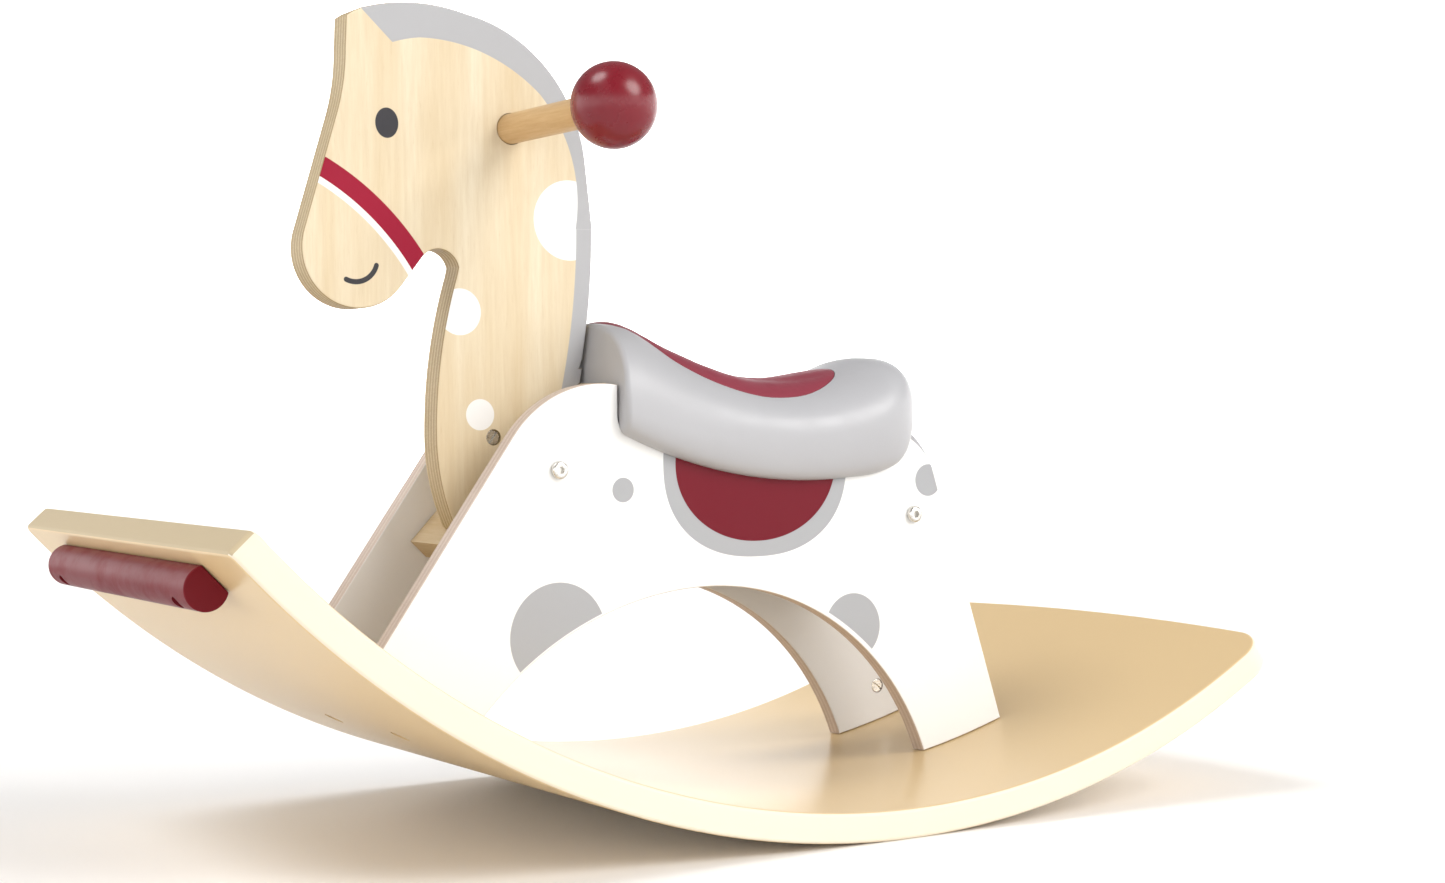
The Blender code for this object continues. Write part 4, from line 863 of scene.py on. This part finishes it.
pad = {"centre": -0.0255, "halfLength": 0.0865, "halfWidth": 0.046, "depth": 0.005, "crown": 0.005,
       "bedGap": 0.001, "squareness": 0.85, "crease": 0.0009, "creaseX": 0.021, "fill": 0.9}
battens = {"drop": 0.0035, "places": {"front": -0.085, "rear": 0.052}}


def saddleHalf(y):
    start = saddle["rear"] - saddle["rearRound"]
    if y <= start:
        return saddle["halfWidth"]
    share, power = min((y - start) / saddle["rearRound"], 1.0), saddle["rearPower"]
    return saddle["halfWidth"] * (1 - share ** power) ** (1 / power)


def saddleBottom(y):
    front = cradleFillet(panel["cradleFront"], saddle["corner"])
    fillet = panel["rearFillet"]
    rear = cradleFillet(panel["cradleRear"], fillet)
    if y < front[0]:
        return (front[1] - math.sqrt(max(0.0, saddle["corner"] ** 2 - (y - front[0]) ** 2))
                + 2 * hairline)
    if y > rear[0]:
        run = min(y - rear[0], fillet)
        over = max(0.0, y - rear[0] - fillet + 0.002)
        return (rear[1] - math.sqrt(max(0.0, fillet ** 2 - run ** 2)) + 2 * hairline
                + min(over * 3, 0.009))
    return cradleHeight(y) + 2 * hairline


def saddleTop(x, y, lowered=0.0, narrowed=0.0):
    middle = smoothCurve(saddle["middle"], y)
    crest = smoothCurve(saddle["crest"], y) - lowered
    share = min(abs(x) / max(saddleHalf(y) - narrowed, 1e-4), 1.0)
    return middle + (crest - middle) * (1 - share ** saddle["roundness"]) ** (1 / saddle["roundness"])


def skirtBottom(y):
    # the shell's outer edge hangs a little below the top of the panels and sweeps up at the rear
    start, end = saddle["skirtTurn"]
    if y <= start:
        return min(saddleBottom(y), cradleHeight(y)) - saddle["skirt"]
    share = min((y - start) / (saddle["rear"] - start), 1.0)
    low = cradleHeight(start) - saddle["skirt"]
    return low + (end - low) * (1 - math.sqrt(1 - share ** 2))


def saddleRing(y, inset):
    # from the bottom centre out past the panel, down its outer face, up the side and over the crest
    half = max(saddleHalf(y) - inset, 0.0015)
    middle, bottom, skirt = smoothCurve(saddle["middle"], y), saddleBottom(y), skirtBottom(y) + inset
    crest = smoothCurve(saddle["crest"], y) - inset
    ledge = min(panelOuter + saddle["ledgeGap"], half * 0.86)
    power = 2 / saddle["roundness"]
    side = [(ledge * share, bottom) for share in (0, 0.3, 0.55, 0.75, 0.9, 1)]
    side.append((ledge, min(skirt + (bottom - skirt) * 0.5, bottom)))
    for i in range(15):
        turn = math.radians(-90 + 6 * i)
        side.append((ledge + (half - ledge) * math.cos(turn) ** 0.85,
                     middle + (min(skirt, bottom) - middle) * abs(math.sin(turn)) ** power))
    for i in range(26):
        turn = math.radians(90 * i / 25)
        side.append((half * max(math.cos(turn), 0.0) ** power,
                     middle + (crest - middle) * math.sin(turn) ** power))
    return side + [(-x, z) for x, z in reversed(side[1:-1])]


def saddleStations():
    # closer together round the front rim and the swept rear
    front, rim = panel["cradleFront"] + 2 * hairline, saddle["rim"]
    start = saddle["rear"] - saddle["rearRound"]
    steps = [rim * (1 - math.cos(math.radians(turn))) for turn in range(0, 91, 15)]
    found = [(front + step, rim - math.sqrt(rim ** 2 - (rim - step) ** 2)) for step in steps]
    first = found[-1][0]
    found += [(first + (start - first) * i / 26, 0.0) for i in range(1, 27)]
    found += [(start + saddle["rearRound"] * math.sin(math.radians(turn)), 0.0)
              for turn in (*range(5, 86, 4), 87.5, 89.4)]
    return found


def makeShell():
    stations = saddleStations()
    last = len(stations) - 1
    rings = [saddleRing(y, inset) for y, inset in stations]
    count = len(rings[0])

    def place(around, along):
        i = round(along * last)
        y = stations[i][0]
        x, z = rings[i][round(around * count) % count]
        fade = max(0.0, 1 - (y - stations[0][0]) / 0.05)
        return inPlace(x, (y + saddle["wallTilt"] * fade * max(0.0, z - panel["shoulderTop"]), z))

    made = wrapped("saddleShell", count, last, place)
    cavityFront = panel["cradleFront"] + saddle["wall"] + 0.008
    cavityRear = panel["cradleRear"] - panel["rearFillet"]
    narrowed = saddle["halfWidth"] - saddle["cavityHalf"]

    def hollow(across, along):
        y = cavityFront + (cavityRear - cavityFront) * along
        low = saddleBottom(y) - 0.02
        wide = saddle["cavityHalf"]
        if across < 0.08 or across > 0.92:
            return inPlace(wide * (-1 if across < 0.5 else 1), (y, low))
        x = wide * ((across - 0.08) / 0.84 * 2 - 1)
        return inPlace(x, (y, saddleTop(x * 0.8, y, pad["depth"] + saddle["wall"], narrowed) - 0.002))

    combine(made, closedBlock("hollow", 25, 24, hollow))
    reach = panelInner - saddle["tongueGap"]
    hip, outer = hipCentre(), panel["hip"] + saddle["tongueRise"]
    outline = (arcPoints(hip, outer, 80, saddle["tongueEnd"], 30)
               + arcPoints(hip, outer - saddle["wall"], saddle["tongueEnd"], 80, 30))
    for y in battens["places"].values():
        seat = cradleHeight(y) - battens["drop"]
        for sign, _ in bothSides:
            x = sign * saddle["bossX"]
            roof = saddleTop(x, y) - pad["depth"] - 0.0025
            combine(made, rod(inPlace(x, (y, seat + hairline)), inPlace(x, (y, roof)), saddle["boss"]),
                    "UNION")
    combine(made, plate("tongue", outline, -reach, reach, 0.0016), "UNION")
    combine(made, padBlock("padBed", hairline, pad["depth"] + pad["bedGap"], 0.02, True))
    return made


def closedBlock(name, across, along, place):
    # a ring grid: its first and last columns meet below, and both ends are filled
    def ringPlace(u, v):
        return place(u, v) if u < 1 else place(0.0, v)

    return wrapped(name, across, along, ringPlace)


def padBlock(name, grow, below, above, isTool):
    # a domed oval, laid from the middle of its top out to its rim and back under to the middle
    rise = (1.0, 0.995, 0.98, 0.955, 0.92, 0.87, 0.80, 0.70, 0.58, 0.44, 0.29, 0.14, 0.0)
    shares = [(share, True) for share in reversed(rise)] + [(share, False) for share in rise]
    last = len(shares) - 1

    def place(around, along):
        share, onTop = shares[round(along * last)]
        turn = 2 * math.pi * around
        c, s = math.cos(turn), math.sin(turn)
        square = pad["squareness"]
        x = (pad["halfWidth"] + grow) * share * math.copysign(abs(c) ** square, c)
        y = pad["centre"] + (pad["halfLength"] + grow) * share * math.copysign(abs(s) ** square, s)
        if isTool:
            lift = above if onTop else -below
        elif onTop:
            crease = math.exp(-((abs(x) - pad["creaseX"]) / 0.006) ** 2) * min(1.0, (1 - share) * 6)
            lift = above * (1 - share ** 4.5) ** 0.8 - pad["crease"] * crease
        else:
            lift = -below
        return inPlace(x, (y, saddleTop(x, y) + lift))

    return wrapped(name, 96, last, place, caps=False)


shellPlastic = lacquerFinish("saddlePlastic", "#A9A9AC", 0.38, ripple=0.00006, wear=0.03)
padSkin = lacquerFinish("padSkin", "#84303F", 0.46, 0.35, ripple=0.00010, wear=0.10)
shell = makeShell()
smooth(shell, 40)
dressed(shell, [shellPlastic])
finished(shell, "saddle_shell", "saddle_shell")
saddlePad = padBlock("saddlePad", 0.0, pad["depth"], pad["crown"], False)
smooth(saddlePad, 60)
dressed(saddlePad, [padSkin])
finished(saddlePad, "pad", "saddle_pad")
print("saddle", len(shell.data.polygons))


# bolts and barrel nuts: each modelled once, standing at the origin, then copied to its places
def makeBoltModel(length):
    high, radius = fasteners["headHeight"], fasteners["head"]
    model = rod((0, 0, -high), (0, 0, 0), radius, 48, "boltModel")
    editMode(model)
    choose(model, "EDGE", lambda e: all(v.co.z < -high * 0.9 for v in e.verts))
    bpy.ops.mesh.bevel(offset=high * 0.62, segments=6, affect="EDGES", profile=0.55)
    choose(model, "FACE", lambda f: f.normal.z > 0.9 and f.calc_center_median().z > -1e-5)
    bpy.ops.mesh.inset(thickness=radius - fasteners["bolt"])
    bpy.ops.mesh.extrude_region_move(TRANSFORM_OT_translate={"value": (0, 0, length)})
    objectMode()
    combine(model, rod((0, 0, -2 * high), (0, 0, -0.3 * high), fasteners["socket"], 6))
    smooth(model, 30)
    dressed(model, [steel])
    return model


def makeNutModel(length):
    model = rod((0, 0, 0), (0, 0, length), fasteners["nut"], 48, "nutModel")
    editMode(model)
    choose(model, "EDGE", lambda e: abs(e.verts[0].co.z - e.verts[1].co.z) < 1e-6)
    bpy.ops.mesh.bevel(offset=0.0005, segments=3, affect="EDGES")
    objectMode()
    for z in (0, length):  # a driver slot across each end
        bpy.ops.object.select_all(action="DESELECT")
        bpy.ops.mesh.primitive_cube_add(size=1, location=(0, 0, z), scale=(0.02, 0.0013, 0.0024))
        slotTool = bpy.context.object
        bpy.ops.object.transform_apply(location=True, rotation=True, scale=True)
        combine(model, slotTool)
    smooth(model, 30)
    dressed(model, [steel])
    return model


def standing(start, axis, turn=0.0):
    return (Matrix.Translation(start) @ Vector(axis).to_track_quat("Z", "Y").to_matrix().to_4x4()
            @ Matrix.Rotation(math.radians(turn), 4, "Z"))


def makeFasteners():
    nutReach = fasteners["nut"] + fasteners["pastNut"]
    model = makeBoltModel(fasteners["panelBolt"])
    for place, centre, _ in panelBolts:
        for sign, side in bothSides:
            made = copied(model, "panelBolt_%s_%s" % (place, side),
                          standing(inPlace(sign * (panelOuter + hairline), centre), (-sign, 0, 0), 20))
            finished(made, "nickel_steel", "panel_bolt_%s_%s" % (place, side))
    nutRadius = board["radius"] - fasteners["nutHeight"]
    seatRadius = underRadius - fasteners["sinkDepth"] + hairline
    legModel = makeBoltModel(seatRadius - nutRadius + nutReach)
    legNut = makeNutModel(fasteners["legNutDepth"] - 2 * hairline)
    for name, sign, x, angle in legPlaces():
        made = copied(legModel, "legBolt_" + name,
                      standing(inPlace(x, onRocker(angle, seatRadius)), slopeAxis(angle + 90)))
        finished(made, "nickel_steel", "leg_bolt_" + name)
        start = inPlace(sign * (panelInner + hairline), onRocker(angle, nutRadius))
        made = copied(legNut, "legNut_" + name, standing(start, (sign, 0, 0), 35))
        finished(made, "nickel_steel", "leg_nut_" + name)
    neckNutLength = head["thickness"] - 2 * head["edge"]
    nutModel = makeNutModel(neckNutLength)
    made = copied(nutModel, "neckNut", standing(inPlace(-neckNutLength / 2, neckNut), (1, 0, 0), 55))
    finished(made, "nickel_steel", "neck_nut")
    for model in (model, legModel, legNut, nutModel):
        bpy.data.objects.remove(model, do_unlink=True)


makeFasteners()
print("bolts and nuts")

# the hidden woodwork and steel keep their own shapes
keptFinishes = {
    "neck_rest": crossWood, "rear_brace": crossWood, "saddle_batten": crossWood,
    "dowel": handleWood, "screw": steel, "nut": steel, "bolt": steel,
}
for name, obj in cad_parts.items():
    if obj.hide_render:
        continue
    finish = next(found for key, found in keptFinishes.items() if key in name)
    for holder in obj.material_slots:
        holder.material = finish
print("kept pieces")

# room: a pale floor inside a low glowing round wall, and three wide soft lights
studio = {
    "camera": (1.2249, -0.7471, 0.2488), "lens": 57.30, "yaw": 32.65, "pitch": -0.85, "roll": -0.49,
    "floor": "#F4F3F2", "world": 0.34, "wallRadius": 6.6, "wallHeight": 2.4, "wallGlow": 1.05,
    "lights": {  # name: (direction the light comes from, spread in degrees, strength, tone)
        "key": ((0.675, 0.42, 0.595), 34, 2.05, "#FFFDFA"),
        "front": ((0.45, -0.75, 0.50), 40, 0.16, "#FBFCFF"),
        "top": ((-0.15, -0.45, 0.88), 26, 1.25, "#FFFFFF"),
    },
}


def makeRoom():
    bpy.ops.object.select_all(action="DESELECT")
    bpy.ops.mesh.primitive_circle_add(vertices=96, radius=studio["wallRadius"], fill_type="NGON")
    floor = bpy.context.object
    floor.name = floor.data.name = "floor"
    made, tree, shader = newFinish("floorPaint", Specular_IOR_Level=0.2, Roughness=0.6)
    tone = colour(studio["floor"])
    cloud = spread(tree, noise(tree, objectPlace(tree), 1.4, 3), 0, 1)
    tree.links.new(mixed(tree, cloud, tone, tuple(part * 0.985 for part in tone[:3]) + (1.0,)),
                   shader.inputs["Base Color"])
    floor.data.materials.append(made)
    bpy.ops.object.select_all(action="DESELECT")
    bpy.ops.mesh.primitive_cylinder_add(
        vertices=96, radius=studio["wallRadius"], depth=studio["wallHeight"], end_fill_type="NOTHING",
        location=(0, 0, studio["wallHeight"] / 2))
    wall = bpy.context.object  # a low round wall far out, bright all over
    wall.name = wall.data.name = "wall"
    made = newFinish("wallPaint", Base_Color=(0.9, 0.9, 0.9, 1.0), Roughness=0.9,
                     Emission_Color=(1.0, 1.0, 1.0, 1.0), Emission_Strength=studio["wallGlow"])[0]
    wall.data.materials.append(made)
    world = bpy.data.worlds.new("studioWorld")
    world.use_nodes = True
    world.node_tree.nodes["Background"].inputs["Color"].default_value = (1.0, 1.0, 1.0, 1.0)
    world.node_tree.nodes["Background"].inputs["Strength"].default_value = studio["world"]
    bpy.context.scene.world = world
    for name, (towards, angle, strength, tone) in studio["lights"].items():
        light = bpy.data.lights.new(name + "Light", "SUN")
        light.angle, light.energy = math.radians(angle), strength
        light.color = colour(tone)[:3]
        holder = bpy.data.objects.new(name + "Light", light)
        bpy.context.scene.collection.objects.link(holder)
        holder.location = towards
        holder.rotation_euler = Vector(towards).to_track_quat("Z", "Y").to_euler()


def makeCamera():
    yaw, pitch, roll = (math.radians(studio[key]) for key in ("yaw", "pitch", "roll"))
    ahead = Vector((-math.cos(yaw) * math.cos(pitch), math.sin(yaw) * math.cos(pitch),
                    math.sin(pitch)))
    right = ahead.cross(Vector((0, 0, 1))).normalized()
    up = right.cross(ahead)
    right, up = (right * math.cos(roll) + up * math.sin(roll),
                 up * math.cos(roll) - right * math.sin(roll))
    camera = bpy.data.objects.new("camera", bpy.data.cameras.new("camera"))
    camera.data.lens = studio["lens"]
    camera.data.sensor_width = 36
    bpy.context.scene.collection.objects.link(camera)
    camera.matrix_world = Matrix.Translation(studio["camera"]) @ Matrix(
        (right, up, -ahead)).transposed().to_4x4()
    bpy.context.scene.camera = camera


makeRoom()
makeCamera()
bpy.context.scene.view_settings.view_transform = "Standard"
print("room and camera")
